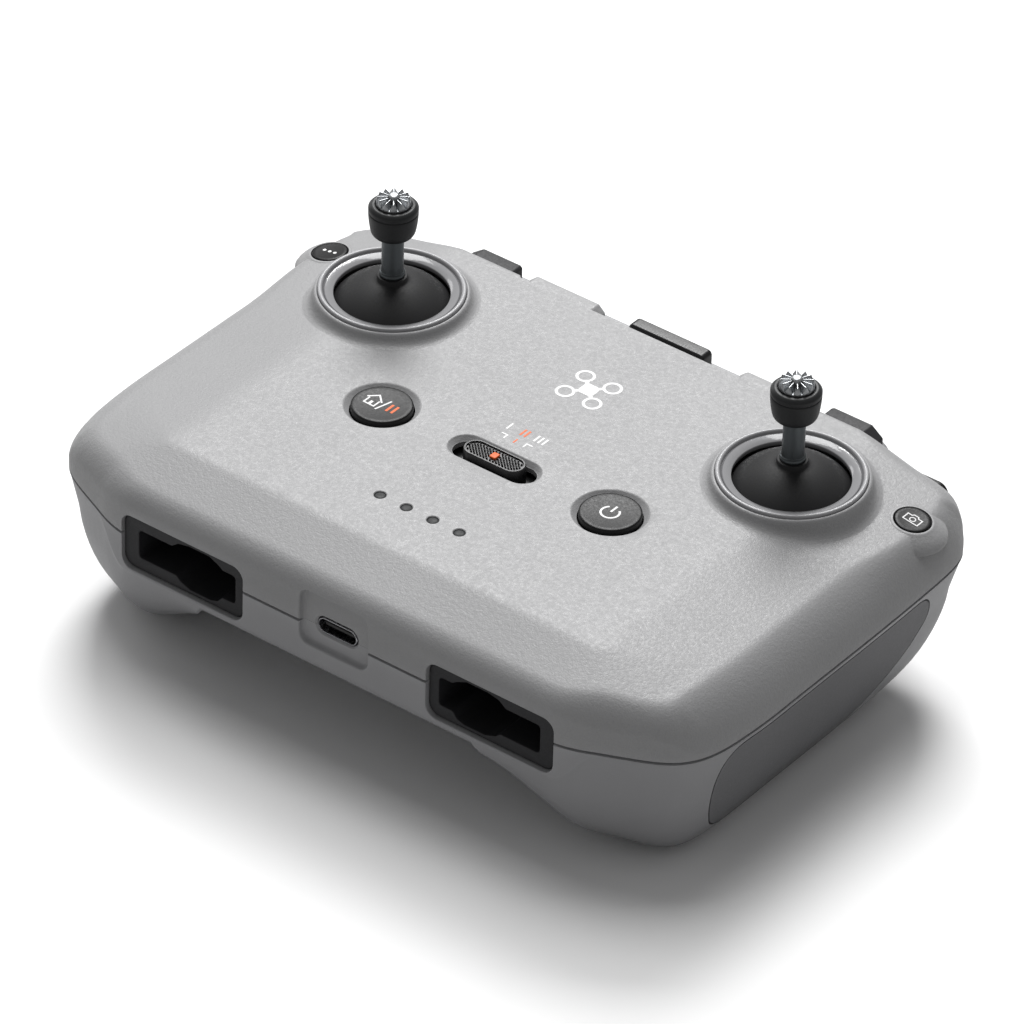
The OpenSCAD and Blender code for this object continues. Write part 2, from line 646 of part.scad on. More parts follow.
// Stick heights: the base is above the pivot, the flange above the base
stick_base = dome_r + 0.62;
flange_z = stick_len * 0.86;
grip_r = grip_d / 2;
module stick_shaft(side) color(shaft_grey) at_stick(side) {
  translate([0, 0, dome_r - 2.4]) cylinder(r = 1.5, h = 4, $fn = 32);
  translate([0, 0, stick_base]) cylinder(r = 2.45, h = 0.9, $fn = 48);
  translate([0, 0, stick_base]) cylinder(r = 2.1, h = stick_len - 1.32, $fn = 48);
  translate([0, 0, stick_base + flange_z]) cylinder(r = 3.2, h = 0.96, $fn = 48);
}
module stick_knob(side) color(rubber) at_stick(side) translate([0, 0, stick_base])
  rotate_extrude($fn = 96) polygon([
    [2.12, 9.0], [3.2, 9.0], [3.75, 9.2], [4.15, 9.75], [grip_r - 0.35, 10.7],
    [grip_r - 0.05, 13.0], [grip_r, 14.0], [grip_r - 0.12, 14.15], [grip_r, 14.3],
    [grip_r, 15.1], [grip_r - 0.6, 15.7], [3.6, 15.76], [3.42, 15.6], [3.42, flange_z + 1.0],
    [3.25, flange_z - 0.02], [2.12, flange_z - 0.02]]);
// Metal cap with radial grooves and a centre pin
module stick_tip(side) color(metal) at_stick(side)
  translate([0, 0, stick_base + stick_len - 1.3]) {
    difference() {
      cylinder(r = 3.35, h = 2.3, $fn = 48);
      for (k = [0 : 5]) rotate([0, 0, k * 30]) translate([-5, -0.32, 1.4]) cube([10, 0.64, 3]);
    }
    cylinder(r = 1.1, h = 2.9, $fn = 32);
  }

// ---- controls
// Cap, retaining flange and plunger
module round_button(side) color(black) translate([side * button_x, button_y, 0]) {
  translate([0, 0, 38.0]) cylinder(r = button_r, h = 4.6, $fn = 96);
  translate([0, 0, 38.0]) cylinder(r = 6.9, h = 1.3, $fn = 64);
  translate([0, 0, 34.9]) cylinder(r = 1.6, h = 3.2, $fn = 32);
}
module power_button() round_button(right);
module home_button() round_button(left);
module shoulder_button(side) color(black) on_side(side) at_shoulder() {
  translate([0, 0, -3.1]) cylinder(r = shoulder_r, h = 3.4, $fn = 64);
  translate([0, 0, -5.4]) cylinder(r = 1.15, h = 2.4, $fn = 32);
}
module function_button() shoulder_button(left);
module photo_button() shoulder_button(right);
module shutter_button() color(black) {
  round_box(around(shutter_x, 6.5), [42.6, 46.6], around(shutter_z, 2.3), 2.28);
  round_box(around(shutter_x, 4.0), [41.7, 42.7], around(shutter_z, 2.0), 1.5);
  translate([shutter_x, 40.2, shutter_z]) rotate([-90, 0, 0]) cylinder(r = 1.15, h = 2, $fn = 32);
}
module mode_cap() color(black) translate([0, slider_y, 0]) {
  translate([0, 0, 39.0]) stadium(13.3, 5.0, 4.2);
  translate([-11.8, -3.5, 38.3]) cube([23.6, 7.0, 1.1]);
  translate([-1.1, -1.1, 34.0]) cube([2.2, 2.2, 4.5]);
}
module gimbal_dial() color(black) difference() {
  at_dial(30.5) cylinder(r = 5.5, h = 5.5, $fn = 72);
  at_dial(30) cylinder(r = 0.85, h = 8, $fn = 32);
  // fluted rim
  for (k = [0 : 23]) at_dial(29) rotate([0, 0, k * 15]) translate([5.55, 0, 0])
    cylinder(r = 0.32, h = 9, $fn = 8);
}
low_arm_z = 29.0;
high_arm_z = 36.12;
high_arm_t = 0.46;
module dial_shaft() color(metal) at_dial(low_arm_z) cylinder(r = 0.8, h = 7.6, $fn = 32);
// Arms below and above the dial, joined by a post
module dial_bracket() color(black) difference() {
  at_dial(0) {
    translate([0, 0, low_arm_z]) cylinder(r = 1.8, h = 1.2, $fn = 40);
    translate([0, 0, high_arm_z]) cylinder(r = 1.25, h = high_arm_t, $fn = 40);
    rotate([0, 0, -124]) {
      translate([0, -1.5, low_arm_z]) cube([8.4, 3.0, 1.2]);
      translate([0, -0.95, high_arm_z]) cube([8.4, 1.9, high_arm_t]);
      translate([6.2, -1.5, low_arm_z]) cube([2.2, 3.0, high_arm_z + high_arm_t - low_arm_z]);
    }
  }
  at_dial(28) cylinder(r = 0.82, h = 12, $fn = 32);
}

if (shown("top_shell")) top_shell();
if (shown("bottom_shell")) bottom_shell();
if (shown("grip_pad_left")) grip_pad(left);
if (shown("grip_pad_right")) grip_pad(right);
if (shown("stick_ring_left")) stick_ring(left);
if (shown("stick_ring_right")) stick_ring(right);
if (shown("storage_insert_left")) storage_insert(left);
if (shown("storage_insert_right")) storage_insert(right);
if (shown("usb_receptacle")) usb_receptacle();
if (shown("usb_tongue")) usb_tongue();
if (shown("main_board")) main_board();
if (shown("board_chips")) board_chips();
if (shown("rf_shield")) rf_shield();
if (shown("tact_switches")) tact_switches();
if (shown("shoulder_boards")) shoulder_boards();
if (shown("mode_switch_base")) mode_switch_base();
if (shown("led_light_guide")) led_light_guide();
if (shown("battery_cell_left")) battery_cell(left);
if (shown("battery_cell_right")) battery_cell(right);
if (shown("battery_links")) battery_links();
if (shown("case_screws")) case_screws();
if (shown("board_screws")) board_screws();
if (shown("gimbal_screws")) gimbal_screws();
if (shown("holder_rails")) holder_rails();
if (shown("holder_plate")) holder_plate();
if (shown("clamp_bar")) clamp_bar();
if (shown("clamp_cover")) clamp_cover();
if (shown("clamp_pad_left")) clamp_pad(left);
if (shown("clamp_pad_right")) clamp_pad(right);
if (shown("phone_plug")) phone_plug();
if (shown("phone_plug_tip")) phone_plug_tip();
if (shown("antenna_left")) antenna(left);
if (shown("antenna_right")) antenna(right);
if (shown("gimbal_housing_left")) gimbal_housing(left);
if (shown("gimbal_housing_right")) gimbal_housing(right);
if (shown("gimbal_ring_left")) gimbal_ring(left);
if (shown("gimbal_ring_right")) gimbal_ring(right);
if (shown("gimbal_dome_left")) gimbal_dome(left);
if (shown("gimbal_dome_right")) gimbal_dome(right);
if (shown("stick_shaft_left")) stick_shaft(left);
if (shown("stick_shaft_right")) stick_shaft(right);
if (shown("stick_knob_left")) stick_knob(left);
if (shown("stick_knob_right")) stick_knob(right);
if (shown("stick_tip_left")) stick_tip(left);
if (shown("stick_tip_right")) stick_tip(right);
if (shown("power_button")) power_button();
if (shown("home_button")) home_button();
if (shown("function_button")) function_button();
if (shown("photo_button")) photo_button();
if (shown("shutter_button")) shutter_button();
if (shown("mode_cap")) mode_cap();
if (shown("gimbal_dial")) gimbal_dial();
if (shown("dial_shaft")) dial_shaft();
if (shown("dial_bracket")) dial_bracket();
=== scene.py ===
import math
import bpy
import bmesh
import numpy as np
from mathutils import Matrix, Vector


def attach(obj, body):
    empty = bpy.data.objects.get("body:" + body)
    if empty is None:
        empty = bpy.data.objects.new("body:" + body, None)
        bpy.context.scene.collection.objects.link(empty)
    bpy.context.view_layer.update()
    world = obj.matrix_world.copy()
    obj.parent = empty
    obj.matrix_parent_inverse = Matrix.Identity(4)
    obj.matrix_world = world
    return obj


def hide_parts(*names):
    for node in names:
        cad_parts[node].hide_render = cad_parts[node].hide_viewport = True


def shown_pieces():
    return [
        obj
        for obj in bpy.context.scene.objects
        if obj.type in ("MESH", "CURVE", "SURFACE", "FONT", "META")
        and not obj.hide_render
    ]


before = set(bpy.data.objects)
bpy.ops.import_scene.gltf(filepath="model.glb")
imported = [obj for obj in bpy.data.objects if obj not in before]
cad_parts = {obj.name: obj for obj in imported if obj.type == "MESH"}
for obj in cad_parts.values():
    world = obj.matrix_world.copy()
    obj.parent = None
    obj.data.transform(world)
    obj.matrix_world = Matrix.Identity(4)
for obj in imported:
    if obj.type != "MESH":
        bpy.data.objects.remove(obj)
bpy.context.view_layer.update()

MM = 0.001

# ------------------------------------------------------------------ numbers (mm)
TOP_Z, SEAM, WALL = 42.4, 28.8, 2.0
NEAR, FAR = -52.1, 45.4
SX, SY, PZ = 46.36, 22.96, 33.3
BX, BY, BR = 26.37, -5.12, 5.85
SWY = -5.3
FX, FY, FZ, FR, FT = 67.8, 31.14, 42.4 - 2.85, 3.4, math.radians(8.6)
SHX = 59.0
BELLY = 18.4

HALF = [(0, 0), (16, 0), (32, 0), (44, 0), (50, 0.25), (54, 1.3), (57.9, 3.0), (61.3, 4.5),
        (64.6, 6.0), (67.6, 7.6), (70.4, 9.8), (72.5, 12.8), (73.8, 16.6), (74.5, 21.3), (75, 30),
        (75, 40), (75, 50), (75, 60), (74.9, 70), (74.7, 79), (74.4, 86), (73.7, 90.7),
        (72.0, 94.3), (69.0, 96.6), (64.8, 97.4), (58, 97.5), (50, 97.5), (40, 97.5), (28, 97.5),
        (14, 97.5), (0, 97.5)]


def spline_ring(pts, sub):
    """Closed centripetal-free Catmull-Rom through pts."""
    p = np.array(pts, float)
    n = len(p)
    out = []
    for i in range(n):
        a, b, c, d = p[i - 1], p[i], p[(i + 1) % n], p[(i + 2) % n]
        lb = np.linalg.norm(c - b)
        ma = (c - a) / (np.linalg.norm(c - b) + np.linalg.norm(b - a)) * lb
        mb = (d - b) / (np.linalg.norm(d - c) + np.linalg.norm(c - b)) * lb
        k = max(2, int(round(lb / sub)))
        for j in range(k):
            t = j / k
            h00, h10 = 2 * t**3 - 3 * t**2 + 1, t**3 - 2 * t**2 + t
            h01, h11 = -2 * t**3 + 3 * t**2, t**3 - t**2
            out.append(h00 * b + h10 * ma + h01 * c + h11 * mb)
    return np.array(out)


_half = [(x, y + NEAR) for x, y in HALF]
_full = _half + [(-x, y) for x, y in _half[-2:0:-1]]
OUT = spline_ring(_full, 0.8)


def normals_in(r):
    t = np.roll(r, -1, 0) - np.roll(r, 1, 0)
    t /= np.linalg.norm(t, axis=1)[:, None]
    return np.stack([-t[:, 1], t[:, 0]], 1)


NRM = normals_in(OUT)


def clamp(v, a, b):
    return np.minimum(np.maximum(v, a), b)


def smin(a, b, k):
    h = np.maximum(k - np.abs(a - b), 0) / k
    return np.minimum(a, b) - h * h * k * 0.25


def smax(a, b, k):
    return -smin(-a, -b, k)


def sstep(a, b, x):
    t = clamp((x - a) / (b - a), 0, 1)
    return t * t * (3 - 2 * t)


def roof(x, y):
    yr = y - NEAR
    ax = np.abs(x)
    A = (yr - 13.3) * 0.31
    w = 1.0 + 11.0 * clamp((ax - 49) / 15, 0, 1)
    q = 13.3 - yr
    ramp = np.where(q > w, q, np.where(q < -w, 0, (q + w) ** 2 / (4 * w)))
    c = -0.272 * ramp * (1 - clamp((ax - 49) / 70, 0, 0.35))
    B = -(ax - 49) * 0.1516 + np.where(ax > 49, c, -0.272 * ramp)
    return smin(np.zeros_like(A), smin(A, B, 0.45), 0.4)


def edge_params(pt, n):
    """Per outline point: width, height and exponent of the rounded top edge."""
    sw = np.abs(n[:, 0]) ** 1.5
    ax = np.abs(pt[:, 0])
    sh = np.where(pt[:, 1] > 30, clamp((ax - 46) / 14, 0, 1), 0)
    far = np.where(pt[:, 1] > FAR - 2, 1 - sh, 0)
    a = ((3.5 - 2.6 * far) * (1 - sw) + 7.5 * sw) * (1 - sh) + sh * np.maximum(4.6, 7.5 * sw)
    k = sstep(10, 27, pt[:, 1]) * sw
    a = a * (1 - k) + np.minimum(a, 5.2) * k
    return a, sw, 2 - 0.4 * sw, 3.4 - 2.5 * far


EA, EW, EN, EB = edge_params(OUT, NRM)


def nearest(x, y, ring):
    """Distance to the ring and the index of its nearest vertex, vectorised in blocks."""
    p = np.stack([x.ravel(), y.ravel()], 1)
    d = np.empty(len(p))
    k = np.empty(len(p), int)
    a = ring
    b = np.roll(ring, -1, 0)
    ab = b - a
    L = (ab**2).sum(1)
    for s in range(0, len(p), 4000):
        q = p[s:s + 4000]
        ap = q[:, None] - a[None]
        t = clamp((ap * ab[None]).sum(2) / L[None], 0, 1)
        dd = ((ap - t[:, :, None] * ab[None]) ** 2).sum(2)
        j = dd.argmin(1)
        d[s:s + 4000] = np.sqrt(dd[np.arange(len(q)), j])
        k[s:s + 4000] = j
    return d.reshape(x.shape), k.reshape(x.shape)


def top_height(x, y, t, ring=None):
    """Height of the top skin set in by t, over the plan."""
    d, k = nearest(x, y, OUT)
    d = np.maximum(d - t, 0)
    r = roof(x, y)
    a, w, n = EA[k], EW[k], EN[k]
    full = TOP_Z - t + r - SEAM - 0.3
    b = np.minimum(full, EB[k] * (1 - w) + full * w)
    q = clamp((a - d) / a, 0, 1)
    return TOP_Z - t + r - b * (1 - (1 - q**n) ** (1 / n))


# ---- bottom skin
GX, GIN, SP0, SP1 = 52.0, 31.5, NEAR + 25.5, NEAR + 70


def ray_len(sx, sy, vx, vy, inset):
    """Distance from a spine point to the grip's outline along a unit direction."""
    best = np.full(sx.shape, 1e9)
    a = OUT + NRM * inset
    b = np.roll(a, -1, 0)
    keep = (OUT[:, 0] > 26) & (np.roll(OUT, -1, 0)[:, 0] > 26)
    a, b = a[keep], b[keep]
    e = b - a
    fs, fy, fvx, fvy = sx.ravel(), sy.ravel(), vx.ravel(), vy.ravel()
    res = best.ravel()
    for s in range(0, len(fs), 4000):
        q = slice(s, s + 4000)
        den = fvx[q, None] * e[None, :, 1] - fvy[q, None] * e[None, :, 0]
        den = np.where(np.abs(den) < 1e-12, 1e-12, den)
        wx, wy = a[None, :, 0] - fs[q, None], a[None, :, 1] - fy[q, None]
        tt = (wx * e[None, :, 1] - wy * e[None, :, 0]) / den
        uu = (wx * fvy[q, None] - wy * fvx[q, None]) / den
        ok = (tt > 0) & (uu >= -1e-6) & (uu <= 1 + 1e-6)
        res[q] = np.where(ok, tt, 1e9).min(1)
    res = res.reshape(sx.shape)
    inner = np.where(vx < -1e-9, (GX - GIN - inset) / np.maximum(-vx, 1e-9), 1e9)
    return np.minimum(res, inner)


def grip_depth(x, y, t):
    ax = np.abs(x)
    sy = clamp(y, SP0, SP1)
    dx, dy = ax - GX, y - sy
    L = np.maximum(np.hypot(dx, dy), 1e-6)
    vx, vy = dx / L, dy / L
    R = ray_len(np.full_like(sy, GX), sy, vx, vy, t)
    rho = L / R
    wx, wi, wn, wf = np.maximum(vx, 0) ** 2, np.minimum(vx, 0) ** 2, np.minimum(vy, 0) ** 2, np.maximum(vy, 0) ** 2
    o = np.maximum(wx + wn + wf, 1e-6)
    r1 = (wx * 0.868 + wn * 0.989 + wf * 0.975) / o
    h1 = (wx * 0.446 + wn * 0.12 + wf * 0.11) / o
    r1 = np.where(o > 2e-6, r1, 0.9)
    u = np.minimum(rho / r1, 1)
    side = np.clip(wx / o, 0, 1)
    f = side * (1 - u ** 5.2) + (1 - side) * np.maximum(0, 1 - u ** 2.2) ** (1 / 2.2)
    g = np.where(rho >= r1, h1 * (1 - rho) / (1 - r1), h1 + (1 - h1) * f)
    inner = np.where(rho <= 1, 0.336 + 0.664 * 0.5 * (1 + np.cos(np.pi * np.minimum(rho, 1))), 0.336 - 0.5 * (rho - 1))
    wi = 1 - (1 - wi) ** 2
    g = (1 - wi) * np.maximum(g, -0.5) + wi * inner
    return np.maximum(g, -0.5) * (SEAM + 0.35 - t), rho


def low_depth(x, y, t):
    """Depth of the bottom skin below the seam."""
    d, k = nearest(x, y, OUT)
    d = np.maximum(d - t, 0)
    ax = np.abs(x)
    q = clamp(1 - d / 3.8, 0, 1)
    belly = 7.2 + 3.2 * np.sqrt(np.maximum(0, 1 - q * q)) - t
    belly = belly * (1 - sstep(49.5, 60, ax)) - 2.0 * sstep(49.5, 60, ax)
    g, rho = grip_depth(x, y, t)
    g = np.where(ax > 20, g, -1.0)
    return np.minimum(smax(belly, g, 2.6), SEAM - t)


# ------------------------------------------------------------------ mesh helpers
col = bpy.context.scene.collection


def new_obj(name, verts, faces, mm=True):
    me = bpy.data.meshes.new(name)
    v = np.asarray(verts, float) * (MM if mm else 1.0)
    me.from_pydata([tuple(p) for p in v], [], [tuple(f) for f in faces])
    me.validate()
    o = bpy.data.objects.new(name, me)
    col.objects.link(o)
    return o


def grid_faces(m, n, closed=True, base=0, flip=False):
    k = np.arange(m - 1)[:, None] * n
    i = np.arange(n if closed else n - 1)[None]
    j = (i + 1) % n
    f = np.stack([base + k + i, base + k + j, base + k + n + j, base + k + n + i], -1).reshape(-1, 4)
    return f[:, ::-1] if flip else f


def loft(name, rings, cap0=True, cap1=True, c0=None, c1=None):
    """rings: list of (n,3); counter-clockwise seen from the direction the rings advance."""
    m, n = len(rings), len(rings[0])
    v = np.concatenate(rings)
    f = [tuple(q) for q in grid_faces(m, n)]
    v = list(map(tuple, v))
    if cap0:
        v.append(tuple(c0 if c0 is not None else rings[0].mean(0)))
        c = len(v) - 1
        f += [(c, (i + 1) % n, i) for i in range(n)]
    if cap1:
        v.append(tuple(c1 if c1 is not None else rings[-1].mean(0)))
        c = len(v) - 1
        b = (m - 1) * n
        f += [(c, b + i, b + (i + 1) % n) for i in range(n)]
    return new_obj(name, v, f)


def apply_mods(o):
    dg = bpy.context.evaluated_depsgraph_get()
    dg.update()
    me = bpy.data.meshes.new_from_object(o.evaluated_get(dg))
    old = o.data
    o.modifiers.clear()
    o.data = me
    bpy.data.meshes.remove(old)
    return o


def boolean(o, other, op="DIFFERENCE", keep=False):
    m = o.modifiers.new("b", "BOOLEAN")
    m.operation = op
    m.object = other
    m.solver = "MANIFOLD"
    apply_mods(o)
    if not keep:
        me = other.data
        bpy.data.objects.remove(other)
        bpy.data.meshes.remove(me)
    return o


def join(objs, name):
    o = objs[0]
    bm = bmesh.new()
    for q in objs:
        off = len(bm.verts)
        tmp = bmesh.new()
        tmp.from_mesh(q.data)
        tmp.transform(q.matrix_basis)
        me = bpy.data.meshes.new("t")
        tmp.to_mesh(me)
        tmp.free()
        bm.from_mesh(me)
        bpy.data.meshes.remove(me)
    me = bpy.data.meshes.new(name)
    bm.to_mesh(me)
    bm.free()
    for q in objs:
        d = q.data
        bpy.data.objects.remove(q)
        bpy.data.meshes.remove(d)
    r = bpy.data.objects.new(name, me)
    col.objects.link(r)
    return r


def shade(o, angle=32, weighted=True):
    bm = bmesh.new()
    bm.from_mesh(o.data)
    bmesh.ops.remove_doubles(bm, verts=bm.verts, dist=2e-7)
    bmesh.ops.dissolve_degenerate(bm, dist=1e-7, edges=bm.edges)
    lim = math.radians(angle)
    for f in bm.faces:
        f.smooth = True
    for e in bm.edges:
        e.smooth = not (len(e.link_faces) != 2 or e.calc_face_angle(3.0) > lim)
    bm.to_mesh(o.data)
    bm.free()
    if weighted:
        m = o.modifiers.new("wn", "WEIGHTED_NORMAL")
        m.keep_sharp = True
        m.weight = 60
    return o


def revolve(name, prof, n=96, cx=0.0, cy=0.0, cz=0.0, closed=True):
    """prof: (r, z) list, outline of a ring section going up the outside; closed makes a torus-like solid,
    otherwise the ends lie on the axis."""
    prof = [tuple(p) for p in prof]
    v, f = [], []
    idx = []
    for r, z in prof:
        if r < 1e-9:
            idx.append([len(v)] * n)
            v.append((cx, cy, cz + z))
        else:
            s = len(v)
            for i in range(n):
                a = 2 * math.pi * i / n
                v.append((cx + r * math.cos(a), cy + r * math.sin(a), cz + z))
            idx.append(list(range(s, s + n)))
    m = len(prof)
    for k in range(m if closed else m - 1):
        A, B = idx[k], idx[(k + 1) % m]
        for i in range(n):
            j = (i + 1) % n
            q = [A[i], A[j], B[j], B[i]]
            u = []
            for e in q:
                if e not in u:
                    u.append(e)
            if len(u) > 2:
                f.append(u)
    return new_obj(name, v, f)


def rnd(prof, r, seg=4, skip=()):
    """Rounds every corner of a closed (r,z) outline by up to r."""
    p = np.array(prof, float)
    n = len(p)
    out = []
    for i in range(n):
        a, b, c = p[i - 1], p[i], p[(i + 1) % n]
        if i in skip:
            out.append(tuple(b))
            continue
        u, w = a - b, c - b
        lu, lw = np.linalg.norm(u), np.linalg.norm(w)
        if lu < 1e-9 or lw < 1e-9:
            out.append(tuple(b))
            continue
        u, w = u / lu, w / lw
        ang = math.acos(max(-1, min(1, float(u @ w))))
        if ang > math.pi - 0.05:
            out.append(tuple(b))
            continue
        t = min(r / math.tan(ang / 2), lu * 0.45, lw * 0.45)
        for j in range(seg + 1):
            s = j / seg
            out.append(tuple((1 - s) ** 2 * (b + u * t) + 2 * s * (1 - s) * b + s * s * (b + w * t)))
    return out


def rrect(x0, x1, z0, z1, r, seg=6):
    """Rounded rectangle outline, counter-clockwise."""
    r = min(r, (x1 - x0) / 2 - 1e-4, (z1 - z0) / 2 - 1e-4)
    out = []
    for cx, cz, a0 in ((x1 - r, z0 + r, -90), (x1 - r, z1 - r, 0), (x0 + r, z1 - r, 90), (x0 + r, z0 + r, 180)):
        for j in range(seg + 1):
            a = math.radians(a0 + 90 * j / seg)
            out.append((cx + r * math.cos(a), cz + r * math.sin(a)))
    return np.array(out)


def offset_poly(p, d):
    """Moves a counter-clockwise outline outward by d."""
    t = np.roll(p, -1, 0) - np.roll(p, 1, 0)
    t /= np.maximum(np.linalg.norm(t, axis=1), 1e-9)[:, None]
    return p + np.stack([t[:, 1], -t[:, 0]], 1) * d


def prism(name, layers, plane="xy"):
    """layers: [(outline Nx2, height)], advancing along the plane's normal.
    plane xy: (x, y, h); xz: (x, h, z) looking from -Y; yz: (h, y, z)."""
    rings = []
    for p, h in layers:
        if plane == "xy":
            rings.append(np.stack([p[:, 0], p[:, 1], np.full(len(p), h)], 1))
        elif plane == "xz":
            rings.append(np.stack([p[:, 0], np.full(len(p), h), p[:, 1]], 1))
        else:
            rings.append(np.stack([np.full(len(p), h), p[:, 0], p[:, 1]], 1))
    o = loft(name, rings)
    fix_normals(o)
    return o


def fix_normals(o):
    bm = bmesh.new()
    bm.from_mesh(o.data)
    bmesh.ops.remove_doubles(bm, verts=bm.verts, dist=1e-8)
    bmesh.ops.recalc_face_normals(bm, faces=bm.faces)
    if bm.calc_volume(signed=True) < 0:
        bmesh.ops.reverse_faces(bm, faces=bm.faces)
    bm.to_mesh(o.data)
    bm.free()
    return o


def soft_box(name, x0, x1, y0, y1, z0, z1, r=0.4, seg=3, er=None, axis="y", cr=None, cs=6):
    """Box with rounded edges; cr is the corner radius of the outline across the axis, r the edge round of both ends."""
    if axis == "y":
        a0, a1, b0, b1, h0, h1, pl = x0, x1, z0, z1, y0, y1, "xz"
    elif axis == "z":
        a0, a1, b0, b1, h0, h1, pl = x0, x1, y0, y1, z0, z1, "xy"
    else:
        a0, a1, b0, b1, h0, h1, pl = y0, y1, z0, z1, x0, x1, "yz"
    cr = r if cr is None else cr
    L = []
    for j in range(seg + 1):
        a = math.pi / 2 * j / seg
        i = r * (1 - math.sin(a))
        L.append((rrect(a0 + i, a1 - i, b0 + i, b1 - i, max(cr - i, 0.02), cs), h0 + r * (1 - math.cos(a))))
    for j in range(seg + 1):
        a = math.pi / 2 * (1 - j / seg)
        i = r * (1 - math.sin(a))
        L.append((rrect(a0 + i, a1 - i, b0 + i, b1 - i, max(cr - i, 0.02), cs), h1 - r * (1 - math.cos(a))))
    return prism(name, L, pl)


def mirror_x(o, name):
    me = o.data.copy()
    me.name = name
    q = bpy.data.objects.new(name, me)
    col.objects.link(q)
    me.transform(Matrix.Diagonal((-1, 1, 1, 1)))
    me.flip_normals()
    return q


def move(o, x=0, y=0, z=0, m=None):
    if m is not None:
        o.data.transform(m)
    o.data.transform(Matrix.Translation((x * MM, y * MM, z * MM)))
    return o

# ------------------------------------------------------------------ shells
YC = (NEAR + FAR) / 2
LEV = [0.05, 0.13, 0.25, 0.42, 0.65, 0.95, 1.3, 1.7, 2.2, 2.8, 3.4, 4.1, 4.9, 5.7, 6.6, 7.5, 8.5, 9.5, 10.5,
       11.3, 11.9, 12.4, 12.9, 13.4, 13.9, 14.5, 15.2, 16.2, 17.5, 19, 20.5, 22, 23.5, 25, 26.5, 28, 30]
LEV_IN = [0.1, 0.4, 0.9, 1.6, 2.6, 4.0, 5.6, 7.5, 10, 13, 17, 22, 28]


def plan_rings(t, lev, frac):
    """Rings from the outline (set in by t) towards a middle line: list of (n,2)."""
    base = OUT + NRM * t
    tgt = np.stack([clamp(base[:, 0], -30, 30), np.full(len(base), YC)], 1)
    d = tgt - base
    L = np.linalg.norm(d, axis=1)[:, None]
    u = d / L
    rings = [base]
    for s in lev:
        rings.append(base + u * s)
    s0 = lev[-1]
    for f in frac:
        rings.append(base + u * (s0 + (L - s0) * f))
    return rings


def top_solid(name, t, zb, lev, frac, groove=True, lift=0.0):
    R = plan_rings(t, lev, frac)
    out = []
    b = R[0]
    if groove:
        out.append(np.column_stack([b + NRM * 0.9, np.full(len(b), SEAM + 0.02)]))
        out.append(np.column_stack([b, np.full(len(b), SEAM + 0.3)]))
    else:
        out.append(np.column_stack([b, np.full(len(b), zb)]))
    z0 = top_height(b[:, 0] + NRM[:, 0] * 1e-4, b[:, 1] + NRM[:, 1] * 1e-4, t)
    zs = out[-1][:, 2]
    z0 = np.maximum(z0, zs + 0.02)
    for q in (0.25, 0.5, 0.75):
        out.append(np.column_stack([b, zs + (z0 - zs) * q]))
    out.append(np.column_stack([b, z0]))
    for r in R[1:]:
        z = top_height(r[:, 0], r[:, 1], t)
        out.append(np.column_stack([r, np.maximum(z, z0 if r is R[1] else -1e9)]))
    out[-1][:, 2] = out[-1][:, 2].max()
    return out


def close_loft(name, rings):
    """Like loft, but the caps are single flat polygons."""
    m, n = len(rings), len(rings[0])
    v = np.concatenate(rings)
    f = [tuple(q) for q in grid_faces(m, n)]
    f.append(tuple(range(n - 1, -1, -1)))
    f.append(tuple((m - 1) * n + i for i in range(n)))
    o = new_obj(name, v, f)
    return fix_normals(o)


def low_solid(name, t, lev, frac, groove=True, up=0.0):
    R = plan_rings(t, lev, frac)
    out = []
    b = R[0]
    if groove:
        out.append(np.column_stack([b + NRM * 0.9, np.full(len(b), SEAM - 0.02)]))
        out.append(np.column_stack([b, np.full(len(b), SEAM - 0.3)]))
    else:
        out.append(np.column_stack([b, np.full(len(b), SEAM + up)]))
    zs = np.minimum(out[-1][:, 2], SEAM - 0.02)
    z0 = SEAM - low_depth(b[:, 0] + NRM[:, 0] * 1e-3, b[:, 1] + NRM[:, 1] * 1e-3, t)
    z0 = np.minimum(z0, zs - 0.02)
    for q in (0.2, 0.4, 0.6, 0.8):
        out.append(np.column_stack([b, zs + (z0 - zs) * q]))
    out.append(np.column_stack([b, z0]))
    for r in R[1:]:
        z = SEAM - low_depth(r[:, 0], r[:, 1], t)
        out.append(np.column_stack([r, np.minimum(z, z0 if r is R[1] else 1e9)]))
    zc = out[-1][:, 2].mean()
    out[-1][:, 2] = zc
    return [q[::-1] for q in out]


def collar(name, cx, cy, r0, r1, height, sh, n=160, depth=1.4, lift=0.0):
    """Rim that grows out of the top face: sh(r) goes from 1 at r0 to 0 at r1, height is its top."""
    rr = list(np.linspace(r0, r1, 40))
    a = np.arange(n) * 2 * math.pi / n
    rings = []
    for k, r in enumerate(rr):
        x, y = cx + r * np.cos(a), cy + r * np.sin(a)
        z0 = top_height(x, y, 0.0)
        z = z0 + (height - z0) * sh(r)
        if k == len(rr) - 1:
            z = z0 - 0.06
        rings.append(np.column_stack([x, y, z]))
    x, y = cx + r1 * np.cos(a), cy + r1 * np.sin(a)
    rings.append(np.column_stack([x, y, top_height(x, y, 0.0) - depth]))
    x, y = cx + r0 * np.cos(a), cy + r0 * np.sin(a)
    rings.append(np.column_stack([x, y, np.minimum(top_height(x, y, 0.0), height) - depth]))
    m = len(rings)
    v = np.concatenate(rings)
    f = [tuple(q) for q in grid_faces(m, n)]
    k, i = (m - 1) * n, np.arange(n)
    f += [(k + p, k + (p + 1) % n, (p + 1) % n, p) for p in range(n)]
    return fix_normals(new_obj(name, v, f))


def cyl_cut(name, r, z0, z1, cx, cy, n=128, prof=None):
    p = prof or [(0, z0), (r, z0), (r, z1), (0, z1)]
    o = revolve(name, p, n, cx, cy, 0, closed=False)
    return fix_normals(o)


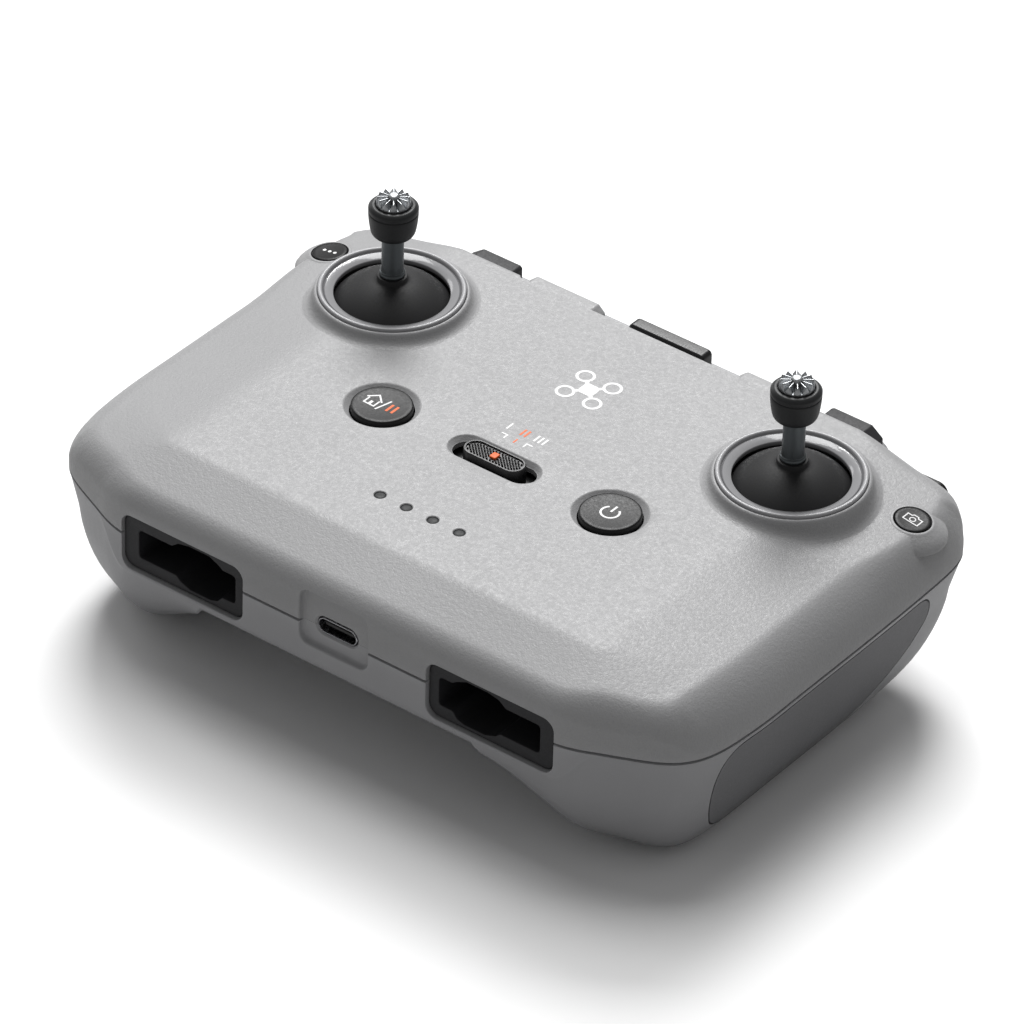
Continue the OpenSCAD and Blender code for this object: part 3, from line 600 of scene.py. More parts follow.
def stadium_pts(l, w, n=20):
    o = []
    for s, a0 in ((1, -90), (-1, 90)):
        for j in range(n + 1):
            a = math.radians(a0 + 180 * j / n)
            o.append((s * (l - w) / 2 + w / 2 * math.cos(a), w / 2 * math.sin(a)))
    return np.array(o)


def shift(p, dx, dy):
    return p + np.array([dx, dy])


def storage_cutter(sgn, g, deep):
    x0, x1 = (21.2, 49.6) if sgn > 0 else (-49.6, -21.2)
    L = [(rrect(x0 - g - 0.5, x1 + g + 0.5, 21.7 - g - 0.5, 33.4 + g + 0.5, 2.8 + g, 8), NEAR - 2),
         (rrect(x0 - g - 0.4, x1 + g + 0.4, 21.7 - g - 0.4, 33.4 + g + 0.4, 2.7 + g, 8), NEAR - 0.005),
         (rrect(x0 - g - 0.12, x1 + g + 0.12, 21.7 - g - 0.12, 33.4 + g + 0.12, 2.45 + g, 8), NEAR + 0.12),
         (rrect(x0 - g, x1 + g, 21.7 - g, 33.4 + g, 2.35 + g, 8), NEAR + 0.4),
         (rrect(x0 - g, x1 + g, 21.7 - g, 33.4 + g, 2.35 + g, 8), NEAR + deep)]
    return prism("c", L, "xz")


def usb_cutters():
    L = [(rrect(-8.15, 8.15, 24.05, 36.6, 2.4, 8), NEAR - 2),
         (rrect(-8.05, 8.05, 24.15, 36.5, 2.3, 8), NEAR - 0.004),
         (rrect(-7.85, 7.85, 24.35, 36.25, 2.1, 8), NEAR + 0.14),
         (rrect(-7.72, 7.72, 24.5, 36.1, 2.0, 8), NEAR + 0.6),
         (rrect(-7.5, 7.5, 24.72, 35.88, 1.8, 8), NEAR + 0.95),
         (rrect(-7.05, 7.05, 25.15, 35.45, 1.5, 8), NEAR + 1.15)]
    a = prism("c", L, "xz")
    L = [(rrect(-5.05, 5.05, 26.95, 31.45, 2.2, 10), NEAR + 1.0),
         (rrect(-5.0, 5.0, 27.0, 31.4, 2.15, 10), NEAR + 1.14),
         (rrect(-4.7, 4.7, 27.32, 31.1, 1.87, 10), NEAR + 1.45),
         (rrect(-4.7, 4.7, 27.32, 31.1, 1.87, 10), NEAR + 4)]
    b = prism("c", L, "xz")
    return [a, b]


def tilt_at(o, s):
    """Moves a piece built round the local origin onto a shoulder button's seat."""
    m = Matrix.Translation((s * FX * MM, FY * MM, FZ * MM)) @ Matrix.Rotation(s * FT, 4, "Y")
    o.data.transform(m)
    return o


VOLC = np.array([(14.3, 1.0), (14.5, 0.985), (14.7, 0.92), (14.85, 0.79), (15.0, 0.62), (15.2, 0.44), (15.45, 0.29), (15.75, 0.175),
                 (16.1, 0.088), (16.5, 0.03), (16.9, -0.012), (17.4, -0.05)])


def volcano(r):
    return float(np.interp(r, VOLC[:, 0], VOLC[:, 1]))


def build_top():
    outer = close_loft("top_shell_skin", top_solid("o", 0.0, SEAM, LEV, (0.15, 0.4, 0.7, 0.9)))
    inner = close_loft("ci", top_solid("i", WALL, SEAM - 1, LEV_IN, (0.4, 0.85), groove=False))
    for s in (-1, 1):
        boolean(outer, collar("c", s * SX, SY, 12.9, 17.4, TOP_Z + 2.25, volcano, depth=1.6), "UNION")
    for s in (-1, 1):
        c = revolve("c", [(3.0, -2.6), (3.0, 0.1), (3.72, 0.14), (3.92, 0.14), (4.05, 0.1), (4.2, 0.01), (4.4, -0.12), (4.75, -0.32),
                          (5.2, -0.58), (5.8, -0.98), (6.4, -1.5), (6.9, -2.1), (7.0, -2.6)], 112)
        boolean(outer, fix_normals(tilt_at(c, s)), "UNION")
    boolean(outer, inner, "DIFFERENCE")
    cuts = []
    for s in (-1, 1):
        cuts.append(cyl_cut("c", 0, 0, 0, s * SX, SY, 160, [(0, 34), (13.46, 34), (13.46, TOP_Z + 0.98),
                    (14.07, TOP_Z + 0.98), (14.07, TOP_Z + 2.05), (14.3, TOP_Z + 2.3), (14.3, TOP_Z + 5), (0, TOP_Z + 5)]))
        cuts.append(cyl_cut("c", 0, 0, 0, s * BX, BY, 128, [(0, 36), (BR + 0.27, 36), (BR + 0.27, TOP_Z - 1.15),
                    (BR + 0.42, TOP_Z - 1.05), (7.02, TOP_Z - 0.22), (7.16, TOP_Z - 0.1), (7.38, TOP_Z + 0.002), (7.6, TOP_Z + 1), (0, TOP_Z + 1)]))
        c = cyl_cut("c", 0, 0, 0, 0, 0, 96, [(0, -4.3), (FR + 0.24, -4.3), (FR + 0.24, 0.12), (FR + 0.42, 0.5), (FR + 0.42, 3), (0, 3)])
        cuts.append(tilt_at(c, s))
    for x in (-9.1, -3.03, 3.03, 9.1):
        cuts.append(cyl_cut("c", 0, 0, 0, x, -27.4, 48, [(0, 36), (1.16, 36), (1.16, TOP_Z - 0.12), (1.32, TOP_Z + 0.01), (1.32, TOP_Z + 2), (0, TOP_Z + 2)]))
    S = [(stadium_pts(18.2, 5.6), 36), (stadium_pts(18.2, 5.6), TOP_Z - 0.98), (stadium_pts(18.5, 5.9), TOP_Z - 0.9),
         (stadium_pts(19.8, 7.1), TOP_Z - 0.2), (stadium_pts(20.05, 7.35), TOP_Z - 0.08), (stadium_pts(20.4, 7.7), TOP_Z + 0.003), (stadium_pts(20.8, 8.1), TOP_Z + 2)]
    cuts.append(prism("c", [(shift(p, 0, SWY), h) for p, h in S]))
    for s in (-1, 1):
        cuts.append(storage_cutter(s, 0.05, 7.9))
    cuts += usb_cutters()
    # dial and shutter windows, phone notch
    cuts.append(soft_box("c", -61.5 - 6.3, -61.5 + 6.3, 37, 60, 30.2, 36.3, r=0.2, axis="y", cr=0.9))
    cuts.append(soft_box("c", SHX - 6.85, SHX + 6.85, 41, 60, 32.95, 38.25, r=0.2, axis="y", cr=2.6))
    cuts.append(soft_box("c", -33, 33, FAR - 1.2, FAR + 6, 36.0, 60, r=0.1, axis="z", cr=1.2))
    for c in cuts:
        boolean(outer, c, "DIFFERENCE")
    outer.name = "top_shell_skin"
    shade(outer, 35)
    # chamfer faces round the buttons and the mode slide take slot 1, whose paler colour is a painted highlight
    paint(outer, 1, lambda c, n: TOP_Z - 1.3 < c[2] < TOP_Z - 0.012 and (math.hypot(abs(c[0]) - BX, c[1] - BY) < 7.5
          or (abs(c[0]) < 10.5 and abs(c[1] - SWY) < 4.1)))
    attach(outer, "body")
    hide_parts("top_shell")
    return outer


# rubber panel outline in the side view (y from the near wall, z), smoothed
PAD = [(20.0, 11.0), (18.9, 14.5), (18.5, 18.5), (18.6, 21.5), (19.4, 24.4), (21.0, 26.3), (23.5, 27.25), (30, 27.25), (45, 27.25), (60, 27.25),
       (72, 27.25), (78.8, 27.0), (81.6, 24.6), (82.5, 20.5), (80.2, 16.9), (76.5, 13.2), (71.5, 9.4), (65.5, 6.2), (59, 4.6), (45, 4.4), (33, 4.4),
       (27.0, 4.8), (22.6, 6.9)]
_pad = spline_ring([(a + NEAR, b) for a, b in PAD][::-1], 0.9)
if True:
    _c = _pad.mean(0)
    _ar = 0.5 * np.sum(_pad[:, 0] * np.roll(_pad[:, 1], -1) - np.roll(_pad[:, 0], -1) * _pad[:, 1])
    if _ar < 0:
        _pad = _pad[::-1]


def pad_prism(g, x0=59.5, x1=92):
    p = offset_poly(_pad, g)
    return prism("c", [(p, x0), (p, x1)], "yz")


LOWLEV = [0.04, 0.1, 0.2, 0.34, 0.52, 0.75, 1.0, 1.3, 1.65, 2.05, 2.5, 3.0, 3.6, 4.3, 5.1, 6.0, 7.0, 8.0, 9.0, 10.2, 11.5, 13,
          14.5, 16, 17.5, 19, 20.5, 22, 23.5, 25, 26.5, 28, 29.5, 31, 32.5, 34]


def build_low():
    outer = close_loft("bottom_shell_skin", low_solid("o", 0.0, LOWLEV, (0.12, 0.25, 0.4, 0.55, 0.7, 0.85)))
    full = outer.data.copy()
    inner = close_loft("ci", low_solid("i", WALL, [0.1, 0.3, 0.7, 1.3, 2.2, 3.4, 5, 7, 9.5, 12, 15, 18, 21, 24, 27, 30, 33],
                                       (0.3, 0.6, 0.85), groove=False, up=1.0))
    boolean(outer, inner)
    # seat of the rubber panels: everything outside a skin set in by 1 mm
    skin1 = close_loft("ci", low_solid("i", 1.0, LOWLEV[2:], (0.12, 0.3, 0.55, 0.85), groove=False, up=6.0))
    pads = []
    for s in (1, -1):
        seat = pad_prism(0.2)
        panel = pad_prism(-0.12)
        if s < 0:
            for q in (seat, panel):
                q.data.transform(Matrix.Diagonal((-1, 1, 1, 1)))
                q.data.flip_normals()
        boolean(seat, skin1, "DIFFERENCE", keep=True)
        boolean(outer, seat, "DIFFERENCE")
        skin0 = bpy.data.objects.new("c", full.copy())
        col.objects.link(skin0)
        boolean(panel, skin0, "INTERSECT")
        boolean(panel, skin1, "DIFFERENCE", keep=True)
        panel.name = "grip_panel_" + ("right" if s > 0 else "left")
        shade(panel, 40)
        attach(panel, "body")
        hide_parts("grip_pad_" + ("right" if s > 0 else "left"))
        pads.append(panel)
    me = skin1.data
    bpy.data.objects.remove(skin1)
    bpy.data.meshes.remove(me)
    cuts = [storage_cutter(s, 0.05, 7.9) for s in (-1, 1)] + usb_cutters()
    cuts.append(soft_box("c", -20.4, 20.4, FAR - 5, FAR + 5, 22.0, 26.8, r=0.1, axis="y", cr=0.6))
    for x, y in ((34, -35.5), (-34, -35.5), (25.5, 40.6), (-25.5, 40.6)):
        cuts.append(cyl_cut("c", 0, 0, 0, x, y, 64, [(0, 14), (2.75, 14), (2.75, BELLY - 0.01), (2.45, BELLY + 0.3), (2.45, BELLY + 1.85), (0, BELLY + 1.85)]))
    for c in cuts:
        boolean(outer, c)
    shade(outer, 35)
    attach(outer, "body")
    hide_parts("bottom_shell")
    bpy.data.meshes.remove(full)
    return outer, pads

# ------------------------------------------------------------------ materials
def principled(name, base, rough=0.5, metal=0.0, spec=0.5, coat=0.0, coat_rough=0.1, sheen=0.0, alpha=None):
    m = bpy.data.materials.new(name)
    m.use_nodes = True
    nt = m.node_tree
    b = nt.nodes["Principled BSDF"]
    b.inputs["Base Color"].default_value = (*base, 1)
    b.inputs["Roughness"].default_value = rough
    b.inputs["Metallic"].default_value = metal
    b.inputs["Specular IOR Level"].default_value = spec
    b.inputs["Coat Weight"].default_value = coat
    b.inputs["Coat Roughness"].default_value = coat_rough
    b.inputs["Sheen Weight"].default_value = sheen
    return m, nt, b


def srgb(r, g, b):
    f = lambda c: (c / 255 / 12.92) if c / 255 <= 0.04045 else ((c / 255 + 0.055) / 1.055) ** 2.4
    return (f(r), f(g), f(b))


def tex_noise(nt, vec, scale, detail=3.0, rough=0.55, dist=0.0):
    n = nt.nodes.new("ShaderNodeTexNoise")
    n.inputs["Scale"].default_value = scale
    n.inputs["Detail"].default_value = detail
    n.inputs["Roughness"].default_value = rough
    n.inputs["Distortion"].default_value = dist
    nt.links.new(vec, n.inputs["Vector"])
    return n.outputs["Fac"]


def mapr(nt, fac, lo, hi, a=0.3, b=0.7):
    n = nt.nodes.new("ShaderNodeMapRange")
    n.inputs["From Min"].default_value = a
    n.inputs["From Max"].default_value = b
    n.inputs["To Min"].default_value = lo
    n.inputs["To Max"].default_value = hi
    nt.links.new(fac, n.inputs["Value"])
    return n.outputs["Result"]


def mul(nt, a, b):
    n = nt.nodes.new("ShaderNodeMath")
    n.operation = "MULTIPLY"
    for i, v in enumerate((a, b)):
        if isinstance(v, (int, float)):
            n.inputs[i].default_value = v
        else:
            nt.links.new(v, n.inputs[i])
    return n.outputs[0]


def add(nt, a, b):
    n = nt.nodes.new("ShaderNodeMath")
    n.operation = "ADD"
    for i, v in enumerate((a, b)):
        if isinstance(v, (int, float)):
            n.inputs[i].default_value = v
        else:
            nt.links.new(v, n.inputs[i])
    return n.outputs[0]


def scale_col(nt, base, fac):
    """base colour times a scalar socket."""
    n = nt.nodes.new("ShaderNodeVectorMath")
    n.operation = "SCALE"
    n.inputs[0].default_value = base
    nt.links.new(fac, n.inputs["Scale"])
    return n.outputs["Vector"]


def bump(nt, height, strength, dist_mm, normal=None):
    n = nt.nodes.new("ShaderNodeBump")
    n.inputs["Strength"].default_value = strength
    n.inputs["Distance"].default_value = dist_mm * MM
    nt.links.new(height, n.inputs["Height"])
    if normal is not None:
        nt.links.new(normal, n.inputs["Normal"])
    return n.outputs["Normal"]


def plastic(name, base, rough=0.5, spec=0.45, grain=0.35, grain_mm=0.4, fine_mm=0.16, var=0.04, speck=0.05, coat=0.0,
            rough_var=0.08, edge=0.06, coat_rough=0.15, sheen=0.0, bump_mm=None):
    """Moulded plastic or rubber: spark-eroded grain in two sizes, slow tone drift, fine speckle, and a curvature tint
    that is painted light: a painted highlight on convex edges and painted shade in hollows.
    """
    m, nt, b = principled(name, base, rough, 0.0, spec, coat, coat_rough, sheen)
    tc = nt.nodes.new("ShaderNodeTexCoord").outputs["Object"]
    slow = tex_noise(nt, tc, 1 / (28 * MM), 2)
    fine = tex_noise(nt, tc, 1 / (fine_mm * MM), 2)
    grain_n = tex_noise(nt, tc, 1 / (grain_mm * MM), 3, 0.6)
    f = mul(nt, mapr(nt, slow, 1 - var, 1 + var), mapr(nt, fine, 1 - speck, 1 + speck))
    # edge sets a painted highlight on convex edges and painted shade in hollows, read from the mesh's pointiness
    if edge:
        g = nt.nodes.new("ShaderNodeNewGeometry")
        f = mul(nt, f, mapr(nt, g.outputs["Pointiness"], 1 - edge, 1 + edge, 0.46, 0.54))
    nt.links.new(scale_col(nt, base, f), b.inputs["Base Color"])
    nt.links.new(mapr(nt, grain_n, rough - rough_var, rough + rough_var), b.inputs["Roughness"])
    h = add(nt, grain_n, mul(nt, fine, 0.5))
    nt.links.new(bump(nt, h, grain, bump_mm or (0.03 if grain_mm < 0.6 else 0.05)), b.inputs["Normal"])
    return m


def metal(name, base, rough=0.28, brushed=None, var=0.05, grain_mm=0.12, strength=0.15, aniso=0.0):
    m, nt, b = principled(name, base, rough, 1.0)
    tc = nt.nodes.new("ShaderNodeTexCoord").outputs["Object"]
    vec = tc
    if brushed:
        mp = nt.nodes.new("ShaderNodeMapping")
        mp.inputs["Scale"].default_value = brushed
        nt.links.new(tc, mp.inputs["Vector"])
        vec = mp.outputs["Vector"]
    n1 = tex_noise(nt, vec, 1 / (grain_mm * MM), 3)
    n2 = tex_noise(nt, tc, 1 / (6 * MM), 2)
    f = mul(nt, mapr(nt, n1, 1 - var, 1 + var), mapr(nt, n2, 1 - var, 1 + var))
    nt.links.new(scale_col(nt, base, f), b.inputs["Base Color"])
    nt.links.new(mapr(nt, n1, rough * 0.75, rough * 1.3), b.inputs["Roughness"])
    nt.links.new(bump(nt, n1, strength, 0.01), b.inputs["Normal"])
    b.inputs["Anisotropic"].default_value = aniso
    return m


# ------------------------------------------------------------------ trim and moving pieces
def put(o, body, slot, *nodes, angle=32, wn=True):
    shade(o, angle, wn)
    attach(o, body)
    if nodes:
        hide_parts(*nodes)
    return o


def set_mat(o, *mats):
    o.data.materials.clear()
    for m in mats:
        o.data.materials.append(m)


def paint(o, idx, test):
    """Gives faces whose centre (mm) passes the test another material slot."""
    for p in o.data.polygons:
        c = p.center / MM
        if test(c, p.normal):
            p.material_index = idx


def build_ring(s):
    P = [(11.05, 0.8), (11.0, 1.0), (11.0, 1.55), (11.04, 1.68), (11.14, 1.78), (12.0, 2.045), (12.62, 2.24), (12.78, 2.27), (12.84, 2.2),
         (12.9, 2.1), (12.98, 2.1), (13.04, 2.2), (13.1, 2.42), (13.2, 2.66), (13.35, 2.8), (13.55, 2.84), (13.78, 2.82), (13.93, 2.72),
         (13.98, 2.55), (13.98, 1.02), (13.4, 1.02), (13.4, -1.9), (12.92, -1.9), (12.35, -0.3)]
    o = revolve("stick_ring_" + ("left" if s < 0 else "right"), P, 192, s * SX, SY, TOP_Z)
    fix_normals(o)
    return put(o, "body", "bezel", "stick_ring_" + ("left" if s < 0 else "right"), angle=50)


def gear_star(name, r_in, r_out, n, z0, z1, cx, cy, cz):
    """Crown of radial ridges: each tooth is a wedge that is high along its middle and drops to its sides."""
    bm = bmesh.new()
    m = n * 8
    prof = [(r_in, 0.75), (r_in + 0.5, 0.95), (r_out * 0.62, 1.0), (r_out * 0.86, 0.72), (r_out, 0.2)]
    rings = []
    for r, h in prof:
        row = []
        for i in range(m):
            a = 2 * math.pi * i / m
            t = abs(((i % 8) / 8.0) - 0.5) * 2
            ridge = max(0.0, 1 - t * 1.15)
            rr = r if r < r_out * 0.9 else r * (0.86 + 0.14 * (1 if ridge > 0.12 else 0.35))
            z = z0 + (z1 - z0) * h * (0.18 + 0.82 * ridge ** 0.8)
            row.append(bm.verts.new(((cx + rr * math.cos(a)) * MM, (cy + rr * math.sin(a)) * MM, (cz + z) * MM)))
        rings.append(row)
    base_o = [bm.verts.new(((cx + v_r * math.cos(2 * math.pi * i / m)) * MM, (cy + v_r * math.sin(2 * math.pi * i / m)) * MM, (cz + z0 - 0.5) * MM))
              for i in range(m) for v_r in (r_out * 0.9,)]
    base_i = [bm.verts.new(((cx + r_in * math.cos(2 * math.pi * i / m)) * MM, (cy + r_in * math.sin(2 * math.pi * i / m)) * MM, (cz + z0 - 0.5) * MM))
              for i in range(m)]
    loops = [base_i] + rings + [base_o]
    for k in range(len(loops)):
        A, B = loops[k], loops[(k + 1) % len(loops)]
        for i in range(m):
            bm.faces.new((A[i], A[(i + 1) % m], B[(i + 1) % m], B[i]))
    me = bpy.data.meshes.new(name)
    bm.to_mesh(me)
    bm.free()
    o = bpy.data.objects.new(name, me)
    col.objects.link(o)
    return fix_normals(o)


def build_stick(s):
    side = "left" if s < 0 else "right"
    cx, cy = s * SX, SY
    out = []
    # dome with a swept rise to the collar
    prof = []
    r_o = 14.3
    for j in range(0, 81):
        z = -3.0 + (13.86 + 3.0) * (j / 80) ** 0.8
        prof.append((math.sqrt(max(r_o * r_o - z * z, 0)), z))
    prof += [(3.2, 13.98), (3.0, 14.1), (2.92, 14.24), (2.9, 14.7), (2.84, 14.84), (2.7, 14.9), (1.55, 14.9), (1.55, 11.8), (0, 11.8)]
    ri = 13.0
    inner = [(0, 11.3), (2.9, 11.3)]
    z1 = math.sqrt(ri * ri - 2.9 * 2.9)
    for j in range(0, 51):
        z = z1 - (z1 + 3.0) * (j / 50) ** 1.2
        inner.append((math.sqrt(max(ri * ri - z * z, 0)), z))
    prof = inner + prof
    prof = prof[::-1]
    k = prof.index((0, 11.8))
    prof = prof[k:] + prof[:k]
    o = revolve("gimbal_dome_" + side + "_skin", prof, 128, cx, cy, PZ, closed=False)
    fix_normals(o)
    for m in (1, -1):
        p = revolve("c", [(0, 12.9), (0.98, 12.9), (0.98, 15.95), (0.85, 16.08), (0, 16.08)], 40, closed=False)
        fix_normals(p)
        p.data.transform(Matrix.Translation((cx * MM, cy * MM, PZ * MM)) @ Matrix.Rotation(-m * math.pi / 2, 4, "X"))
        boolean(o, p, "UNION")
    put(o, "carrier_" + side, "black_plastic", "gimbal_dome_" + side)
    out.append(("dome", o))
    # shaft
    b = 14.92
    P = [(0, b - 3.0), (1.4, b - 3.0), (1.48, b - 2.9), (1.48, b + 0.02), (2.3, b + 0.02), (2.42, b + 0.06), (2.45, b + 0.16), (2.45, b + 0.68), (2.36, b + 0.82),
         (2.16, b + 0.9), (2.1, b + 1.02), (2.1, b + 7.2), (2.1, b + 14.1), (3.1, b + 14.12), (3.18, b + 14.25), (3.18, b + 14.95), (3.1, b + 15.05), (0, b + 15.05)]
    o = revolve("stick_shaft_" + side + "_turned", P, 96, cx, cy, PZ, closed=False)
    fix_normals(o)
    put(o, "stick_" + side, "stick_metal", "stick_shaft_" + side, angle=40)
    out.append(("shaft", o))
    # rubber grip
    P = [(2.13, 9.0), (3.1, 9.0), (3.45, 9.06), (3.75, 9.22), (3.99, 9.48), (4.17, 9.8), (4.3, 10.2), (4.4, 10.7), (4.56, 11.7), (4.66, 12.6), (4.72, 13.4),
         (4.74, 13.94), (4.7, 14.08), (4.61, 14.13), (4.61, 14.27), (4.7, 14.32), (4.75, 14.44), (4.75, 15.04), (4.71, 15.16), (4.24, 15.64), (4.08, 15.74),
         (3.9, 15.76), (3.6, 15.76), (3.48, 15.7), (3.44, 15.58), (3.44, 15.14), (3.25, 15.06), (3.25, 14.08), (2.13, 14.08)]
    P = [(r, z + b) for r, z in P]
    o = revolve("stick_grip_" + side + "_rubber", P, 128, cx, cy, PZ)
    fix_normals(o)
    put(o, "stick_" + side, "rubber", "stick_knob_" + side, angle=48)
    out.append(("grip", o))
    # tip: toothed crown round a polished ball
    t0 = b + 15.1
    base = revolve("c", [(0, t0), (3.2, t0), (3.3, t0 + 0.1), (3.3, t0 + 0.88), (3.22, t0 + 0.98), (0, t0 + 1.05)], 96, cx, cy, PZ, closed=False)
    fix_normals(base)
    teeth = []
    for k in range(12):
        w = np.array([(0.9, -0.2), (2.85, -0.7), (3.15, -0.74), (3.27, -0.4), (3.3, 0.0), (3.27, 0.4), (3.15, 0.74), (2.85, 0.7), (0.9, 0.2)])
        top = np.array([(1.0, -0.04), (2.5, -0.06), (2.98, -0.06), (3.03, -0.03), (3.04, 0.0), (3.03, 0.03), (2.98, 0.06), (2.5, 0.06), (1.0, 0.04)])
        c, d = math.cos(math.radians(30 * k + 8)), math.sin(math.radians(30 * k + 8))
        turn = lambda q: np.column_stack([q[:, 0] * c - q[:, 1] * d + cx, q[:, 0] * d + q[:, 1] * c + cy])
        teeth.append(prism("c", [(turn(w), PZ + t0 + 0.8), (turn(w), PZ + t0 + 1.12), (turn(w * 0.08 + top * 0.92), PZ + t0 + 2.24), (turn(top), PZ + t0 + 2.3)]))
    crown = fix_normals(join(teeth, "c"))
    boolean(base, crown, "UNION")
    ball = revolve("c", [(0, t0 + 0.9), (1.1, t0 + 0.9), (1.1, t0 + 2.45), (1.02, t0 + 2.66), (0.82, t0 + 2.82), (0.5, t0 + 2.88), (0, t0 + 2.9)], 48, cx, cy, PZ, closed=False)
    fix_normals(ball)
    boolean(base, ball, "UNION")
    base.name = "stick_tip_" + side + "_crown"
    put(base, "stick_" + side, "tip_metal", "stick_tip_" + side, angle=30)
    out.append(("tip", base))
    return out


def cap_profile(r, z0, z1, dish=0.18, edge=0.35):
    P = [(0, z0), (r, z0), (r, z1 - edge), (r - 0.04, z1 - edge * 0.55), (r - 0.14, z1 - edge * 0.2), (r - 0.32, z1 - 0.03), (r - 0.5, z1)]
    for j in range(1, 12):
        q = 1 - j / 12
        P.append(((r - 0.5) * q, z1 - dish * (1 - q * q)))
    P.append((0, z1 - dish))
    return P


def build_round_button(name, s):
    o = revolve(name + "_cap", cap_profile(BR, 38.0, TOP_Z + 0.22), 144, s * BX, BY, 0, closed=False)
    fix_normals(o)
    fl = revolve("c", [(0, 38.0), (6.85, 38.0), (6.9, 38.1), (6.9, 39.2), (6.8, 39.3), (0, 39.3)], 96, s * BX, BY, 0, closed=False)
    boolean(o, fix_normals(fl), "UNION")
    st = revolve("c", [(0, 34.95), (1.45, 34.95), (1.6, 35.1), (1.6, 38.5), (0, 38.5)], 40, s * BX, BY, 0, closed=False)
    boolean(o, fix_normals(st), "UNION")
    return put(o, name, "button_black", name, angle=40)


def build_side_button(name, s):
    P = [(0, -5.38), (1.05, -5.38), (1.15, -5.28), (1.15, -3.08), (FR - 0.1, -3.08), (FR, -2.98)] + cap_profile(FR, 0, 0.3, 0.08, 0.28)[2:]
    o = revolve(name + "_cap", P, 112, 0, 0, 0, closed=False)
    fix_normals(o)
    tilt_at(o, s)
    return put(o, name, "button_black", name, angle=40)


def build_mode():
    S = [(stadium_pts(13.3, 5.0, 24), 39.2), (stadium_pts(13.3, 5.0, 24), TOP_Z + 0.42), (stadium_pts(13.16, 4.86, 24), TOP_Z + 0.62),
         (stadium_pts(12.9, 4.6, 24), TOP_Z + 0.7), (stadium_pts(12.4, 4.1, 24), TOP_Z + 0.7), (stadium_pts(12.2, 3.9, 24), TOP_Z + 0.38)]
    o = prism("mode_slide_cap", [(shift(p, 0, SWY), h) for p, h in S])
    # pyramid field
    bm = bmesh.new()
    pitch = 0.72
    hw, hh = 6.1, 1.95
    base_z, top = TOP_Z + 0.3, TOP_Z + 0.74
    nx, ny = int(2 * hw / pitch), int(2 * hh / pitch)

    def inside(x, y, g):
        e = max(abs(x) - (hw - hh), 0)
        return e * e + y * y < (hh - g) ** 2
    for i in range(-nx, nx + 1):
        for j in range(-ny - 1, ny + 2):
            x = i * pitch * 0.5 * 2 + (0.5 * pitch if j % 2 else 0)
            y = j * pitch * 0.5
            if not inside(x, y, 0.28) or abs(x) < 1.0 and abs(y) < 1.1:
                continue
            h = pitch * 0.46
            v = [bm.verts.new((x + h * a, y + h * b, base_z)) for a, b in ((1, 0), (0, 1), (-1, 0), (0, -1))]
            u = [bm.verts.new((x + h * 0.25 * a, y + h * 0.25 * b, top)) for a, b in ((1, 0), (0, 1), (-1, 0), (0, -1))]
            bm.faces.new(u)
            bm.faces.new(v[::-1])
            for k in range(4):
                bm.faces.new((v[k], v[(k + 1) % 4], u[(k + 1) % 4], u[k]))
    for v in bm.verts:
        v.co = Vector((v.co.x * MM, (v.co.y + SWY) * MM, v.co.z * MM))
    me = bpy.data.meshes.new("c")
    bm.to_mesh(me)
    bm.free()
    pyr = bpy.data.objects.new("c", me)
    col.objects.link(pyr)
    fix_normals(pyr)
    boolean(o, pyr, "UNION")
    fl = soft_box("c", -11.8, 11.8, SWY - 3.45, SWY + 3.45, 38.3, 39.4, r=0.2, axis="z", cr=1.2)
    boolean(o, fl, "UNION")
    lv = soft_box("c", -1.1, 1.1, SWY - 1.1, SWY + 1.1, 34.0, 38.6, r=0.15, axis="z", cr=0.3)
    boolean(o, lv, "UNION")
    o.name = "mode_slide_cap"
    put(o, "mode_cap", "black_plastic", "mode_cap", angle=30)
    bar = soft_box("mode_slide_marker", -0.72, 0.72, SWY - 0.85, SWY + 0.85, TOP_Z + 0.2, TOP_Z + 0.84, r=0.16, axis="z", cr=0.3)
    put(bar, "mode_cap", "rubber", angle=40)
    return o, bar


def build_insert(s):
    side = "left" if s < 0 else "right"
    x0, x1 = 21.25, 49.55
    L = [(rrect(x0, x1, 21.75, 33.35, 2.3, 8), NEAR + 12.0), (rrect(x0, x1, 21.75, 33.35, 2.3, 8), NEAR + 1.15),
         (rrect(x0 + 0.1, x1 - 0.1, 21.85, 33.25, 2.2, 8), NEAR + 0.98), (rrect(x0 + 0.3, x1 - 0.3, 22.05, 33.05, 2.0, 8), NEAR + 0.9)]
    o = prism("storage_insert_" + side + "_rubber", L[::-1], "xz")

    # mouth: a shaft channel with a wider knob pocket, outline walked counter-clockwise
    def mouth(d):
        g = 0.0
        pts = [(23.5 + g, 24.5 + g), (26.6 + g * 0.6, 24.5 + g), (27.6 + g, 23.2 + g), (29.2, 22.7 + g), (34.0, 22.7 + g), (36.4 - g, 23.6 + g), (37.3 - g * 0.6, 24.5 + g),
               (46.1 - g, 24.5 + g), (46.1 - g, 30.5 - g), (38.4 - g * 0.5, 30.5 - g), (36.8 - g, 31.7 - g), (34.4, 32.2 - g), (29.6, 32.2 - g), (27.4 + g, 31.2 - g), (26.4 + g * 0.6, 30.5 - g), (23.5 + g, 30.5 - g)]
        return offset_poly(np.array(rnd(pts, 0.8, 4)), -d)
    M = [(mouth(-0.35), NEAR - 1), (mouth(-0.3), NEAR + 0.88), (mouth(-0.08), NEAR + 1.0), (mouth(0.0), NEAR + 1.3), (mouth(0.12), NEAR + 10.7), (mouth(0.5), NEAR + 11.0)]
    c = prism("c", M, "xz")
    boolean(o, c)
    if s < 0:
        o.data.transform(Matrix.Diagonal((-1, 1, 1, 1)))
        o.data.flip_normals()
    o.name = "storage_insert_" + side + "_rubber"
    return put(o, "body", "rubber", "storage_insert_" + side, angle=40)


